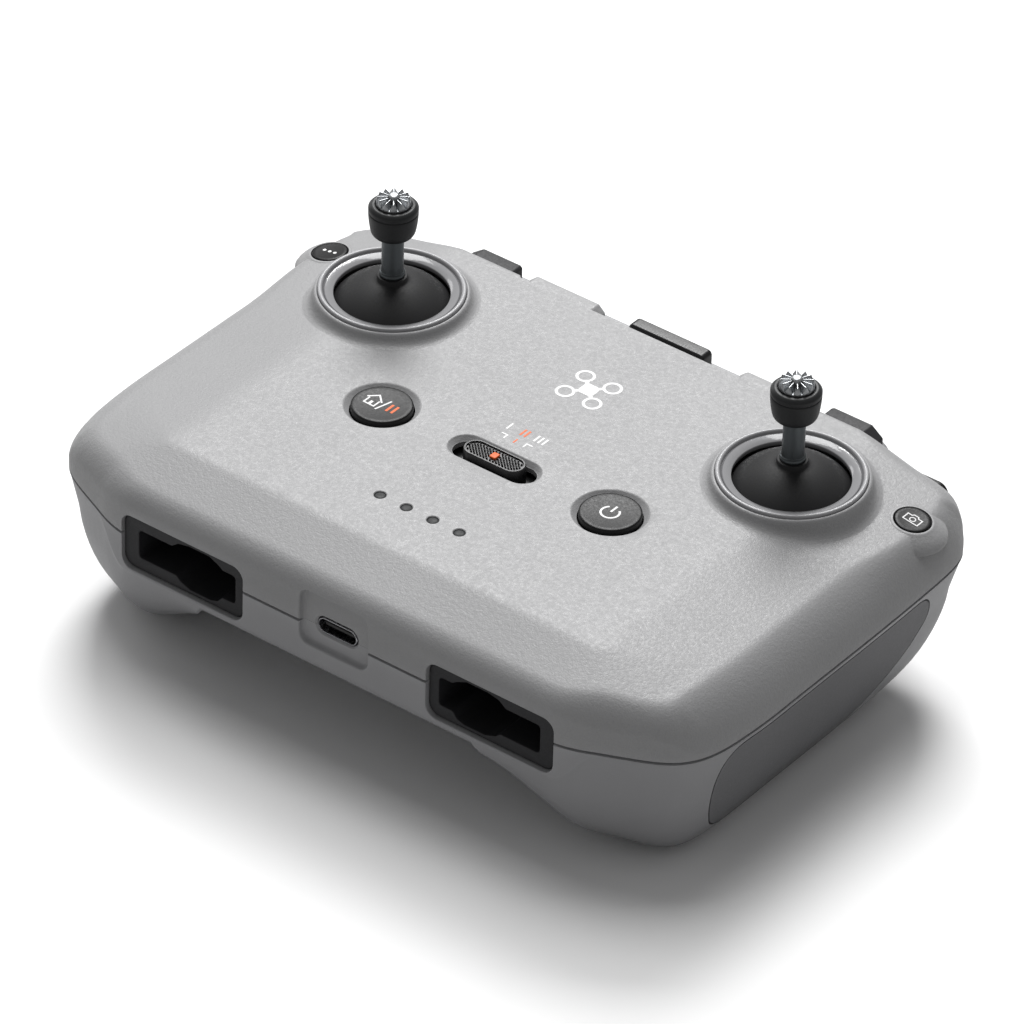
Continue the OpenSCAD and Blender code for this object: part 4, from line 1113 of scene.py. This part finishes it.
def build_usb():
    y0 = NEAR + 1.25
    L = [(rrect(-4.34, 4.34, 27.72, 30.72, 1.42, 10), y0), (rrect(-4.47, 4.47, 27.6, 30.84, 1.55, 10), y0 + 0.15), (rrect(-4.47, 4.47, 27.6, 30.84, 1.55, 10), y0 + 7.3)]
    o = prism("usb_shell_metal", L, "xz")
    c = prism("c", [(rrect(-4.3, 4.3, 27.78, 30.66, 1.42, 10), y0 - 1), (rrect(-4.3, 4.3, 27.78, 30.66, 1.42, 10), y0 + 0.02), (rrect(-4.17, 4.17, 27.9, 30.54, 1.28, 10), y0 + 0.25),
                    (rrect(-4.17, 4.17, 27.9, 30.54, 1.28, 10), y0 + 5.9)], "xz")
    boolean(o, c)
    put(o, "body", "steel", "usb_receptacle", angle=40)
    t = soft_box("usb_tongue_core", -3.35, 3.35, y0 + 0.8, y0 + 5.95, 28.87, 29.57, r=0.12, axis="y", cr=0.15)
    for k in range(12):
        x = -2.75 + 0.5 * k
        for z0, z1 in ((29.5, 29.62), (28.82, 28.94)):
            c = soft_box("c", x - 0.13, x + 0.13, y0 + 1.1, y0 + 4.6, z0, z1, r=0.03, seg=1, axis="y")
            boolean(t, c, "UNION")
    t.name = "usb_tongue_core"
    put(t, "body", "black_plastic", "usb_tongue", angle=40)
    return o, t


def chamfer_block(name, x0, x1, y0, y1, z0, z1, ch0, ch1, top, r=0.35):
    """Block whose outline in the wall's plane has slanted ends, with rounded edges."""
    pts = [(x0, z0), (x1, z0), (x1, z1 - ch1[1]), (x1 - ch1[0], z1), (x0 + ch0[0], z1), (x0, z1 - ch0[1])]
    p = np.array(rnd(pts, 0.7, 4))
    L = [(offset_poly(p, -r), y0), (offset_poly(p, -r * 0.3), y0 + r * 0.25), (p, y0 + r), (p, y1 - r), (offset_poly(p, -r * 0.3), y1 - r * 0.25), (offset_poly(p, -r), y1)]
    return prism(name, L, "xz")


def build_clamp():
    out = {}
    bar = soft_box("clamp_bar_case", -48.5, 48.5, 45.92, 50.55, 19.5, 36.4, r=0.5, seg=3, axis="y", cr=3.0, cs=8)
    for s in (1, -1):
        x0, x1 = (15.8, 33.5) if s > 0 else (-33.5, -15.8)
        b = chamfer_block("c", x0, x1, 46.35, 49.4, 31, 40.3, (1.6, 1.4), (1.6, 1.4), 0, 0.5)
        boolean(bar, b, "UNION")
    for s in (1, -1):
        a, b = sorted((9.6 * s, 46.5 * s))
        boolean(bar, soft_box("c", a, b, 47.9, 51, 21.5, 34.6, r=0.3, axis="y", cr=1.5))
        a, b = sorted((36.0 * s - 0.02 * s, 48.0 * s + 1.0 * s))
        boolean(bar, soft_box("c", a, b, 45, 50.2, 28, 41, r=0.05, axis="y", cr=0.4))
    boolean(bar, soft_box("c", -8.92, 8.92, 46.4, 50.0, 29.9, 42, r=0.05, axis="y", cr=0.6))
    boolean(bar, soft_box("c", -4.4, 4.4, 47.0, 49.8, 23.2, 31, r=0.05, axis="y", cr=0.4))
    bar.name = "clamp_bar_case"
    out["bar"] = put(bar, "phone_holder", "shell_top", "clamp_bar", angle=35)
    cov = soft_box("clamp_cover_plate", -48.5, 48.5, 50.58, 52.1, 19.5, 36.4, r=0.6, seg=4, axis="y", cr=3.0, cs=8)
    # shallow finger groove along the cover
    g = soft_box("c", -30, 30, 51.75, 53, 26.4, 29.6, r=0.3, axis="y", cr=1.5)
    boolean(cov, g)
    cov.name = "clamp_cover_plate"
    out["cover"] = put(cov, "phone_holder", "shell_low", "clamp_cover", angle=35)
    for s in (-1, 1):
        side = "left" if s < 0 else "right"
        o = chamfer_block("c", 36.05, 47.95, 45.97, 50.1, 28.06, 40.4, (0.5, 0.5), (2.6, 1.9), 0, 0.45)
        for k in range(4):
            c = soft_box("c", 36.9, 47.1, 45, 46.32, 30.6 + 2.1 * k, 31.4 + 2.1 * k, r=0.2, axis="x")
            boolean(o, c)
        if s < 0:
            o.data.transform(Matrix.Diagonal((-1, 1, 1, 1)))
            o.data.flip_normals()
        o.name = "clamp_pad_" + side + "_rubber"
        out["pad_" + side] = put(o, "phone_holder", "rubber", "clamp_pad_" + side, angle=35)
    o = soft_box("phone_plug_body", -8.8, 8.8, 46.95, 49.9, 30.0, 40.9, r=0.45, seg=3, axis="y", cr=1.0)
    for x in (-6.4, -4.8, -3.2, 3.2, 4.8, 6.4):
        c = soft_box("c", x - 0.35, x + 0.35, 46.6, 47.2, 36.0, 40.0, r=0.15, axis="z")
        boolean(o, c)
    o.name = "phone_plug_body"
    out["plug"] = put(o, "phone_lead", "black_plastic", "phone_plug", angle=35)
    t = prism("phone_plug_metal", [(shift(rrect(-4.1, 4.1, -1.15, 1.15, 1.1, 8), 0, 48.4), 23.62), (shift(rrect(-4.15, 4.15, -1.2, 1.2, 1.15, 8), 0, 48.4), 23.75),
                             (shift(rrect(-4.15, 4.15, -1.2, 1.2, 1.15, 8), 0, 48.4), 29.99)])
    c = prism("c", [(shift(rrect(-3.6, 3.6, -0.72, 0.72, 0.7, 8), 0, 48.4), 22), (shift(rrect(-3.6, 3.6, -0.72, 0.72, 0.7, 8), 0, 48.4), 28.6)])
    boolean(t, c)
    out["tip"] = put(t, "phone_lead", "steel", "phone_plug_tip", angle=35)
    return out


def build_shutter():
    def prof(g):
        return rrect(SHX - 6.5 + g, SHX + 6.5 - g, 33.3 + g, 37.9 - g, 2.28 - g, 10)
    L = [(prof(0.0), 42.62), (prof(0.0), 45.9), (prof(0.1), 46.25), (prof(0.35), 46.5), (prof(0.7), 46.6), (prof(1.2), 46.45), (prof(1.7), 46.38)]
    o = prism("shutter_button_cap", L, "xz")
    f = soft_box("c", SHX - 4, SHX + 4, 41.72, 42.9, 33.6, 37.6, r=0.15, axis="y", cr=1.5)
    boolean(o, f, "UNION")
    st = revolve("c", [(0, 0), (1.05, 0), (1.15, 0.1), (1.15, 2), (0, 2)], 40, closed=False)
    fix_normals(st)
    st.data.transform(Matrix.Translation((SHX * MM, 40.22 * MM, 35.6 * MM)) @ Matrix.Rotation(-math.pi / 2, 4, "X"))
    boolean(o, st, "UNION")
    o.name = "shutter_button_cap"
    return put(o, "shutter_button", "button_black", "shutter_button", angle=40)


def build_dial():
    m = 24 * 8
    rings = []
    def ring(z, k, r0):
        a = np.arange(m) * 2 * math.pi / m
        t = np.abs((np.arange(m) % 8) / 8.0 - 0.5) * 2
        r = r0 - k * 0.42 * np.clip(1 - (1 - t) * 1.6, 0, 1) ** 1.2
        return np.column_stack([r * np.cos(a), r * np.sin(a), np.full(m, z)])
    L = [ring(30.5, 0, 4.6), ring(30.52, 0, 5.0), ring(30.75, 0.6, 5.32), ring(31.1, 1, 5.48), ring(33.25, 1, 5.5), ring(35.4, 1, 5.48),
         ring(35.75, 0.6, 5.32), ring(35.98, 0, 5.0), ring(36.0, 0, 4.6)]
    o = loft("gimbal_dial_wheel", L)
    fix_normals(o)
    c = cyl_cut("c", 0, 0, 0, 0, 0, 48, [(0, 29), (0.85, 29), (0.85, 38), (0, 38)])
    boolean(o, c)
    for z0, z1 in ((35.7, 37), (29, 30.8)):
        c = cyl_cut("c", 0, 0, 0, 0, 0, 72, [(2.4, z0), (4.1, z0), (4.1, z1), (2.4, z1)]) if False else fix_normals(revolve("c", [(2.4, z0), (4.1, z0), (4.1, z1), (2.4, z1)], 72))
        boolean(o, c)
    o.name = "gimbal_dial_wheel"
    move(o, -61.5, 41.5, 0)
    return put(o, "gimbal_dial", "black_plastic", "gimbal_dial", angle=35)


def build_leds():
    objs = []
    o = soft_box("c", -11, 11, -28.6, -26.2, TOP_Z - 4.2, TOP_Z - 2.6, r=0.2, axis="z", cr=0.5)
    for x in (-9.1, -3.03, 3.03, 9.1):
        p = revolve("c", [(0, 38.3), (1.1, 38.3), (1.1, TOP_Z - 0.3), (1.0, TOP_Z - 0.2), (0.6, TOP_Z - 0.13), (0, TOP_Z - 0.1)], 48, x, -27.4, 0, closed=False)
        boolean(o, fix_normals(p), "UNION")
    o.name = "led_light_guide_bar"
    return put(o, "body", "clear", "led_light_guide", angle=40)


def build_case_screws():
    objs = []
    for x, y in ((34, -35.5), (-34, -35.5), (25.5, 40.6), (-25.5, 40.6)):
        z = BELLY + 1.87
        o = revolve("c", [(0, z), (2.0, z), (2.17, z + 0.18), (2.17, z + 1.1), (1.95, z + 1.28), (1.03, z + 1.3), (1.03, z + 9.4), (0.8, z + 9.8), (0, z + 9.8)], 48, x, y, 0, closed=False)
        fix_normals(o)
        for ang in (0, 90):
            c = soft_box("c", -1.2, 1.2, -0.26, 0.26, -1, 0.75, r=0.05, seg=1, axis="z")
            c.data.transform(Matrix.Rotation(math.radians(ang + 20), 4, "Z"))
            move(c, x, y, z)
            boolean(o, c)
        objs.append(o)
    o = join(objs, "case_screws_turned")
    return put(o, "body", "steel", "case_screws", angle=35)


# ------------------------------------------------------------------ printed marks: thin raised ink
def ink(name, body, strokes, fills, surf, xf=None, t=0.035, deep=0.12):
    """strokes: (points, width, closed); fills: convex outlines. surf(x, y) is the height of the face under the ink."""
    v, f = [], []

    def solid_strip(left, right, closed):
        s = len(v)
        n = len(left)
        for a, b in zip(left, right):
            za, zb = surf(*a), surf(*b)
            v.extend([(a[0], a[1], za - deep), (a[0], a[1], za + t), (b[0], b[1], zb + t), (b[0], b[1], zb - deep)])
        for i in range(n if closed else n - 1):
            A, B = s + 4 * i, s + 4 * ((i + 1) % n)
            for k in range(4):
                f.append((A + k, A + (k + 1) % 4, B + (k + 1) % 4, B + k))
        if not closed:
            f.append(tuple(s + k for k in (3, 2, 1, 0)))
            f.append(tuple(s + 4 * (n - 1) + k for k in range(4)))
    for pts, w, closed in strokes:
        p = [np.array(q, float) for q in pts]
        m = len(p)
        fine = []
        for i in range(m if closed else m - 1):
            a, b = p[i], p[(i + 1) % m]
            k = max(1, int(np.linalg.norm(b - a) / 0.35))
            fine += [a + (b - a) * j / k for j in range(k)]
        if not closed:
            fine.append(p[-1])
        n = len(fine)
        L, R = [], []
        for i in range(n):
            a = fine[i - 1] if (i or closed) else None
            b = fine[(i + 1) % n] if (i < n - 1 or closed) else None
            d1 = (fine[i] - a) if a is not None else (b - fine[i])
            d2 = (b - fine[i]) if b is not None else d1
            d1, d2 = d1 / np.linalg.norm(d1), d2 / np.linalg.norm(d2)
            n1, n2 = np.array([-d1[1], d1[0]]), np.array([-d2[1], d2[0]])
            q = n1 + n2
            q = q / max(np.dot(q, q) / 2, 0.6)
            L.append(fine[i] + q * w / 2)
            R.append(fine[i] - q * w / 2)
        solid_strip(L, R, closed)
    for o in fills:
        p = [np.array(q, float) for q in o]
        c = sum(p) / len(p)
        s = len(v)
        n = len(p)
        rows = (0.0, 0.5, 1.0)
        v.append((c[0], c[1], surf(*c) + t))
        v.append((c[0], c[1], surf(*c) - deep))
        for k in (0.5, 1.0):
            for q in p:
                u = c + (q - c) * k
                v.append((u[0], u[1], surf(*u) + t))
        for q in p:
            v.append((q[0], q[1], surf(*q) - deep))
        for i in range(n):
            j = (i + 1) % n
            f.append((s, s + 2 + i, s + 2 + j))
            f.append((s + 2 + i, s + 2 + n + i, s + 2 + n + j, s + 2 + j))
            f.append((s + 2 + n + i, s + 2 + 2 * n + i, s + 2 + 2 * n + j, s + 2 + n + j))
            f.append((s + 1, s + 2 + 2 * n + j, s + 2 + 2 * n + i))
    o = new_obj(name, v, f)
    fix_normals(o)
    if xf is not None:
        xf(o)
    for p_ in o.data.polygons:
        p_.use_smooth = False
    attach(o, body)
    return o


def arc(cx, cy, r, a0, a1, n=40):
    return [(cx + r * math.cos(math.radians(a0 + (a1 - a0) * i / n)), cy + r * math.sin(math.radians(a0 + (a1 - a0) * i / n))) for i in range(n + 1)]


def disc_pts(cx, cy, r, n=28):
    return arc(cx, cy, r, 0, 360, n)[:-1]


def box_pts(x0, x1, y0, y1):
    return [(x0, y0), (x1, y0), (x1, y1), (x0, y1)]


def dish_surf(cx, cy, r, z1, dish):
    return lambda x, y: z1 - dish * (1 - min(1.0, math.hypot(x - cx, y - cy) / (r - 0.5)) ** 2)


def build_marks():
    pale, orange = [], []
    flat = lambda x, y: TOP_Z + float(roof(np.array(x), np.array(y)))
    # power symbol
    cx, cy = BX, BY
    sf = dish_surf(cx, cy, BR, TOP_Z + 0.22, 0.18)
    pale.append(ink("power_mark", "power_button", [(arc(cx, cy - 0.1, 1.75, 130, 410, 48), 0.42, False), ([(cx, cy + 0.1), (cx, cy + 2.1)], 0.42, False)], [], sf))
    # home and pause symbols with a slash between
    cx = -BX
    sf = dish_surf(cx, cy, BR, TOP_Z + 0.22, 0.18)
    hx, hy = cx - 2.1, cy + 0.2
    house = [(hx - 1.7, hy + 0.2), (hx, hy + 1.85), (hx + 1.7, hy + 0.2)]
    walls = [(hx - 1.15, hy + 0.3), (hx - 1.15, hy - 1.55), (hx + 1.15, hy - 1.55), (hx + 1.15, hy + 0.3)]
    pale.append(ink("home_mark", "home_button", [(house, 0.34, False), (walls, 0.32, False), ([(cx - 0.2, cy - 1.9), (cx + 0.8, cy + 1.9)], 0.34, False)],
                    [box_pts(hx - 0.28, hx + 0.28, hy - 1.36, hy - 0.35)], sf))
    orange.append(ink("pause_mark", "home_button", [([(cx + 1.75, cy - 1.15), (cx + 1.75, cy + 1.25)], 0.52, False), ([(cx + 2.95, cy - 1.15), (cx + 2.95, cy + 1.25)], 0.52, False)], [], sf))
    # camera symbol
    sf = dish_surf(0, 0, FR, 0.3, 0.08)
    body = [(-1.6, -0.95), (1.6, -0.95), (1.6, 0.8), (0.75, 0.8), (0.45, 1.2), (-0.45, 1.2), (-0.75, 0.8), (-1.6, 0.8)]
    pale.append(ink("camera_mark", "photo_button", [(body, 0.24, True), (disc_pts(0, -0.05, 0.55, 24), 0.2, True)], [], sf, lambda o: tilt_at(o, 1)))
    # generic function symbol: three dots
    pale.append(ink("function_mark", "function_button", [], [disc_pts(x, 0, 0.36, 20) for x in (-1.25, 0, 1.25)], sf, lambda o: tilt_at(o, -1)))
    # quadcopter pictogram in the middle of the top
    ox, oy, k = 0.0, 23.1, 1.25
    st = []
    for a in (45, 135, 225, 315):
        ux, uy = math.cos(math.radians(a)), math.sin(math.radians(a))
        st.append(([(ox + k * 1.52 * ux, oy + k * 1.52 * uy), (ox + k * 2.0 * ux, oy + k * 2.0 * uy)], 0.62 * k, False))
        st.append((disc_pts(ox + k * 3.55 * ux, oy + k * 3.55 * uy, 1.3 * k, 36), 0.46 * k, True))
    fl = [[(ox + k * u, oy + k * v) for u, v in ((-1.35, -0.75), (-0.75, -1.35), (0.75, -1.35), (1.35, -0.75), (1.35, 0.75), (0.75, 1.35), (-0.75, 1.35), (-1.35, 0.75))]]
    pale.append(ink("drone_mark", "body", st, fl, flat, t=0.03))
    # three position marks beyond the mode slider, each a tick with one, two or three dots
    yk = 0.85
    for i in range(3):
        x = -0.5 + (i - 1) * 2.85
        st = [([(x, yk), (x, yk + 1.35)], 0.32, False)]
        if i == 0:
            st = [([(x + 0.6, yk), (x + 0.6, yk + 1.25), (x - 0.7, yk + 1.25)], 0.32, False)]
        if i == 2:
            st = [([(x - 0.6, yk), (x - 0.6, yk + 1.25), (x + 0.7, yk + 1.25)], 0.32, False)]
        xd = -0.55 + (i - 1) * 3.6
        st += [([(xd + (j - i / 2) * 0.95, 3.55), (xd + (j - i / 2) * 0.95, 5.65)], 0.42, False) for j in range(i + 1)]
        fl = []
        (orange if i == 1 else pale).append(ink("mode_mark_" + str(i + 1), "body", st, fl, flat, t=0.03))
    return pale, orange


# ------------------------------------------------------------------ build everything
def ring_material(name, base, rough, spec=0.5, coat=0.4):
    return plastic(name, base, rough, spec, grain=0.05, grain_mm=0.9, fine_mm=0.3, var=0.03, speck=0.015, coat=coat, coat_rough=0.06, rough_var=0.03)


GREY = srgb(152, 152, 153)
M = {
    "shell_top": plastic("shell_top_grain", GREY, 0.46, 0.42, grain=0.85, grain_mm=0.7, fine_mm=0.28, var=0.025, speck=0.045, rough_var=0.1, bump_mm=0.09),
    "shell_low": plastic("shell_low_satin", srgb(156, 156, 158), 0.42, 0.42, grain=0.16, grain_mm=0.4, fine_mm=0.18, var=0.025, speck=0.02),
    "lip": ring_material("lip_satin", srgb(158, 158, 160), 0.38, coat=0.1),
    # darker grey for the ring's groove and the bezel's outer edge: painted shade, on a matte finish that takes almost
    # no highlight
    "groove": plastic("groove_matte_painted_shade", srgb(112, 112, 114), 0.75, 0.08, grain=0.1, grain_mm=0.5, fine_mm=0.2, var=0.03, speck=0.02, edge=0),
    "bezel": ring_material("bezel_gloss", srgb(146, 146, 148), 0.16, coat=0.7),
    "panel_dark": plastic("grip_panel_rubber", srgb(118, 118, 120), 0.62, 0.3, grain=0.5, grain_mm=0.45, fine_mm=0.2, var=0.05, speck=0.06),
    "rubber": plastic("rubber_dark", srgb(42, 42, 44), 0.55, 0.32, grain=0.3, grain_mm=0.3, fine_mm=0.12, var=0.06, speck=0.06),
    "black_plastic": plastic("black_satin", srgb(24, 24, 25), 0.36, 0.45, grain=0.2, grain_mm=0.32, fine_mm=0.14, var=0.08, speck=0.06),
    "dome_black": plastic("dome_satin", srgb(34, 34, 35), 0.58, 0.3, grain=0.25, grain_mm=0.35, fine_mm=0.14, var=0.06, speck=0.06),
    "knob_rubber": plastic("knob_rubber", srgb(34, 35, 36), 0.45, 0.36, grain=0.18, grain_mm=0.3, fine_mm=0.12, var=0.05, speck=0.05),
    "button_black": plastic("button_satin", srgb(20, 20, 21), 0.4, 0.22, grain=0.05, grain_mm=0.4, fine_mm=0.15, var=0.05, speck=0.04),
    "grey_plastic": plastic("frame_grey", srgb(120, 121, 124), 0.5, 0.35, grain=0.2, grain_mm=0.5, fine_mm=0.2, var=0.05, speck=0.03),
    "steel": metal("steel_plated", (0.62, 0.62, 0.64), 0.26),
    "stick_metal": metal("shaft_turned", (0.105, 0.115, 0.12), 0.34, brushed=(1, 1, 9)),
    "tip_metal": metal("tip_polished", (0.36, 0.37, 0.38), 0.36),
    "board": plastic("board_mask", srgb(22, 66, 46), 0.34, 0.5, grain=0.12, grain_mm=1.2, fine_mm=0.5, var=0.12, speck=0.08, coat=0.3),
    "cell_wrap": plastic("cell_sleeve", srgb(46, 78, 128), 0.32, 0.5, grain=0.1, grain_mm=2.0, fine_mm=0.6, var=0.08, speck=0.03, coat=0.35),
    "clear": plastic("light_guide", srgb(46, 47, 48), 0.55, 0.25, grain=0.04, grain_mm=0.8, fine_mm=0.3, var=0.05, speck=0.02, coat=0.0),
    "antenna": metal("antenna_foil", (0.72, 0.5, 0.28), 0.32),
}
INK_W = plastic("ink_white", srgb(236, 236, 236), 0.5, 0.3, grain=0.1, grain_mm=0.3, fine_mm=0.1, var=0.01, speck=0.02, edge=0)
INK_O = plastic("ink_orange", srgb(232, 108, 52), 0.5, 0.3, grain=0.1, grain_mm=0.3, fine_mm=0.1, var=0.01, speck=0.02, edge=0)
M["shell_low2"] = M["shell_low"]

top = build_top()
# slot 1 of the top shell is a glossy finish on the button and mode-slide chamfers; its paler colour is a painted
# highlight
set_mat(top, M["shell_top"], ring_material("recess_gloss_painted_highlight", srgb(184, 184, 186), 0.2, coat=0.5))
low, panels = build_low()
set_mat(low, M["shell_low"])
for p in panels:
    set_mat(p, M["panel_dark"])
for s in (-1, 1):
    ring_o = build_ring(s)
    set_mat(ring_o, M["bezel"], M["lip"], M["groove"])
    # clearing the slots resets the face indices, so the ring is painted afterwards
    paint(ring_o, 1, lambda c, n: math.hypot(c[0] - s * SX, c[1] - SY) > 13.06)
    # faces round the groove between bezel and lip take the darker slot 2, a painted shade line
    paint(ring_o, 2, lambda c, n: 12.64 < math.hypot(c[0] - s * SX, c[1] - SY) < 13.06 and c[2] > TOP_Z + 1.9)
    for kind, o in build_stick(s):
        set_mat(o, {"dome": M["dome_black"], "shaft": M["stick_metal"], "grip": M["knob_rubber"], "tip": M["tip_metal"]}[kind])
    set_mat(build_insert(s), M["rubber"])
set_mat(build_round_button("power_button", 1), M["button_black"])
set_mat(build_round_button("home_button", -1), M["button_black"])
set_mat(build_side_button("function_button", -1), M["button_black"])
set_mat(build_side_button("photo_button", 1), M["button_black"])
mode, marker = build_mode()
set_mat(mode, M["black_plastic"])
set_mat(marker, INK_O)
recv, tongue = build_usb()
set_mat(recv, M["steel"])
set_mat(tongue, M["black_plastic"])
clamp_parts = build_clamp()
for k, o in clamp_parts.items():
    set_mat(o, {"bar": M["shell_top"], "cover": M["shell_low"], "plug": M["black_plastic"], "tip": M["steel"]}.get(k, M["rubber"]))
set_mat(build_shutter(), M["button_black"])
set_mat(build_dial(), M["black_plastic"])
set_mat(build_leds(), M["clear"])
set_mat(build_case_screws(), M["steel"])
pale, orange = build_marks()
for o in pale:
    set_mat(o, INK_W)
for o in orange:
    set_mat(o, INK_O)

# CAD pieces that are carried over keep their mesh and take a worked finish
CARRY = {"main_board": "board", "shoulder_boards": "board", "board_chips": "black_plastic", "rf_shield": "steel", "tact_switches": "steel",
         "mode_switch_base": "steel", "battery_cell_left": "cell_wrap", "battery_cell_right": "cell_wrap", "battery_links": "antenna",
         "board_screws": "steel", "gimbal_screws": "steel", "holder_rails": "black_plastic", "holder_plate": "panel_dark",
         "gimbal_housing_left": "grey_plastic", "gimbal_housing_right": "grey_plastic", "gimbal_ring_left": "grey_plastic",
         "gimbal_ring_right": "grey_plastic", "dial_shaft": "steel", "dial_bracket": "grey_plastic", "antenna_left": "antenna",
         "antenna_right": "antenna"}
for n, key in CARRY.items():
    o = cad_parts[n]
    if not o.material_slots:
        o.data.materials.append(M[key])
    for sl in o.material_slots:
        sl.material = M[key]
left_over = [n for n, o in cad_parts.items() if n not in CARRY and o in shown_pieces()]
if left_over:
    print("NOT DRESSED:", left_over)

# ------------------------------------------------------------------ stage: floor, lights, camera
scene = bpy.context.scene
scene.view_settings.view_transform = "Standard"
scene.view_settings.look = "None"
scene.view_settings.exposure = 0.0

bm = bmesh.new()
bmesh.ops.create_grid(bm, x_segments=4, y_segments=4, size=4.0)
me = bpy.data.meshes.new("floor")
bm.to_mesh(me)
bm.free()
floor = bpy.data.objects.new("floor", me)
floor.location = (0, 0, -0.00005)
bpy.context.scene.collection.objects.link(floor)
fm = plastic("floor_paper", (1.0, 1.0, 1.0), 0.75, 0.1, grain=0.02, grain_mm=3, fine_mm=1, var=0.004, speck=0.002, edge=0)
fb = fm.node_tree.nodes["Principled BSDF"]
old_link = fb.inputs["Base Color"].links[0]
lp = fm.node_tree.nodes.new("ShaderNodeLightPath")
mx = fm.node_tree.nodes.new("ShaderNodeMix")
mx.data_type = "RGBA"
fm.node_tree.links.new(lp.outputs["Is Camera Ray"], mx.inputs["Factor"])
fm.node_tree.links.new(old_link.from_socket, [i for i in mx.inputs if i.name == "B" and i.type == "RGBA"][0])
[i for i in mx.inputs if i.name == "A" and i.type == "RGBA"][0].default_value = (0.56, 0.56, 0.56, 1)
fm.node_tree.links.new([o for o in mx.outputs if o.type == "RGBA"][0], fb.inputs["Base Color"])
floor.data.materials.append(fm)

world = bpy.data.worlds.new("studio")
scene.world = world
world.use_nodes = True
bg = world.node_tree.nodes["Background"]
bg.inputs["Color"].default_value = (1, 1, 1, 1)
bg.inputs["Strength"].default_value = 0.22


def area(name, loc, target, size, power, size_y=None, color=(1, 1, 1)):
    d = bpy.data.lights.new(name, "AREA")
    d.shape = "RECTANGLE"
    d.size = size
    d.size_y = size_y or size
    d.energy = power
    d.color = color
    o = bpy.data.objects.new(name, d)
    o.location = loc
    v = Vector(target) - Vector(loc)
    o.rotation_mode = "QUATERNION"
    o.rotation_quaternion = v.to_track_quat("-Z", "Y")
    bpy.context.scene.collection.objects.link(o)
    return o


area("key", (-0.7, 1.0, 1.3), (0, 0, 0.02), 0.8, 26.0, 0.6)
area("top", (-0.35, 0.35, 1.6), (0, 0, 0), 0.9, 14.0, 0.9)
area("strip", (-1.25, 0.35, 0.45), (0, 0, 0.04), 0.25, 1.6, 0.9)

cam_d = bpy.data.cameras.new("camera")
cam_d.lens = 274.7
cam_d.sensor_width = 36.0
cam_d.clip_start = 0.05
cam_d.clip_end = 50
cam = bpy.data.objects.new("camera", cam_d)
scene.collection.objects.link(cam)
az, el, rl = (math.radians(a) for a in (36.70, 35.88, 1.74))
right = Vector((math.cos(az), math.sin(az), 0))
back = Vector((math.sin(az) * math.cos(el), -math.cos(az) * math.cos(el), math.sin(el)))
up = back.cross(right)
r2 = math.cos(rl) * right + math.sin(rl) * up
u2 = -math.sin(rl) * right + math.cos(rl) * up
cam.matrix_world = Matrix.Translation((0.6961, -0.9334, 0.8697)) @ Matrix((r2, u2, back)).transposed().to_4x4()
scene.camera = cam
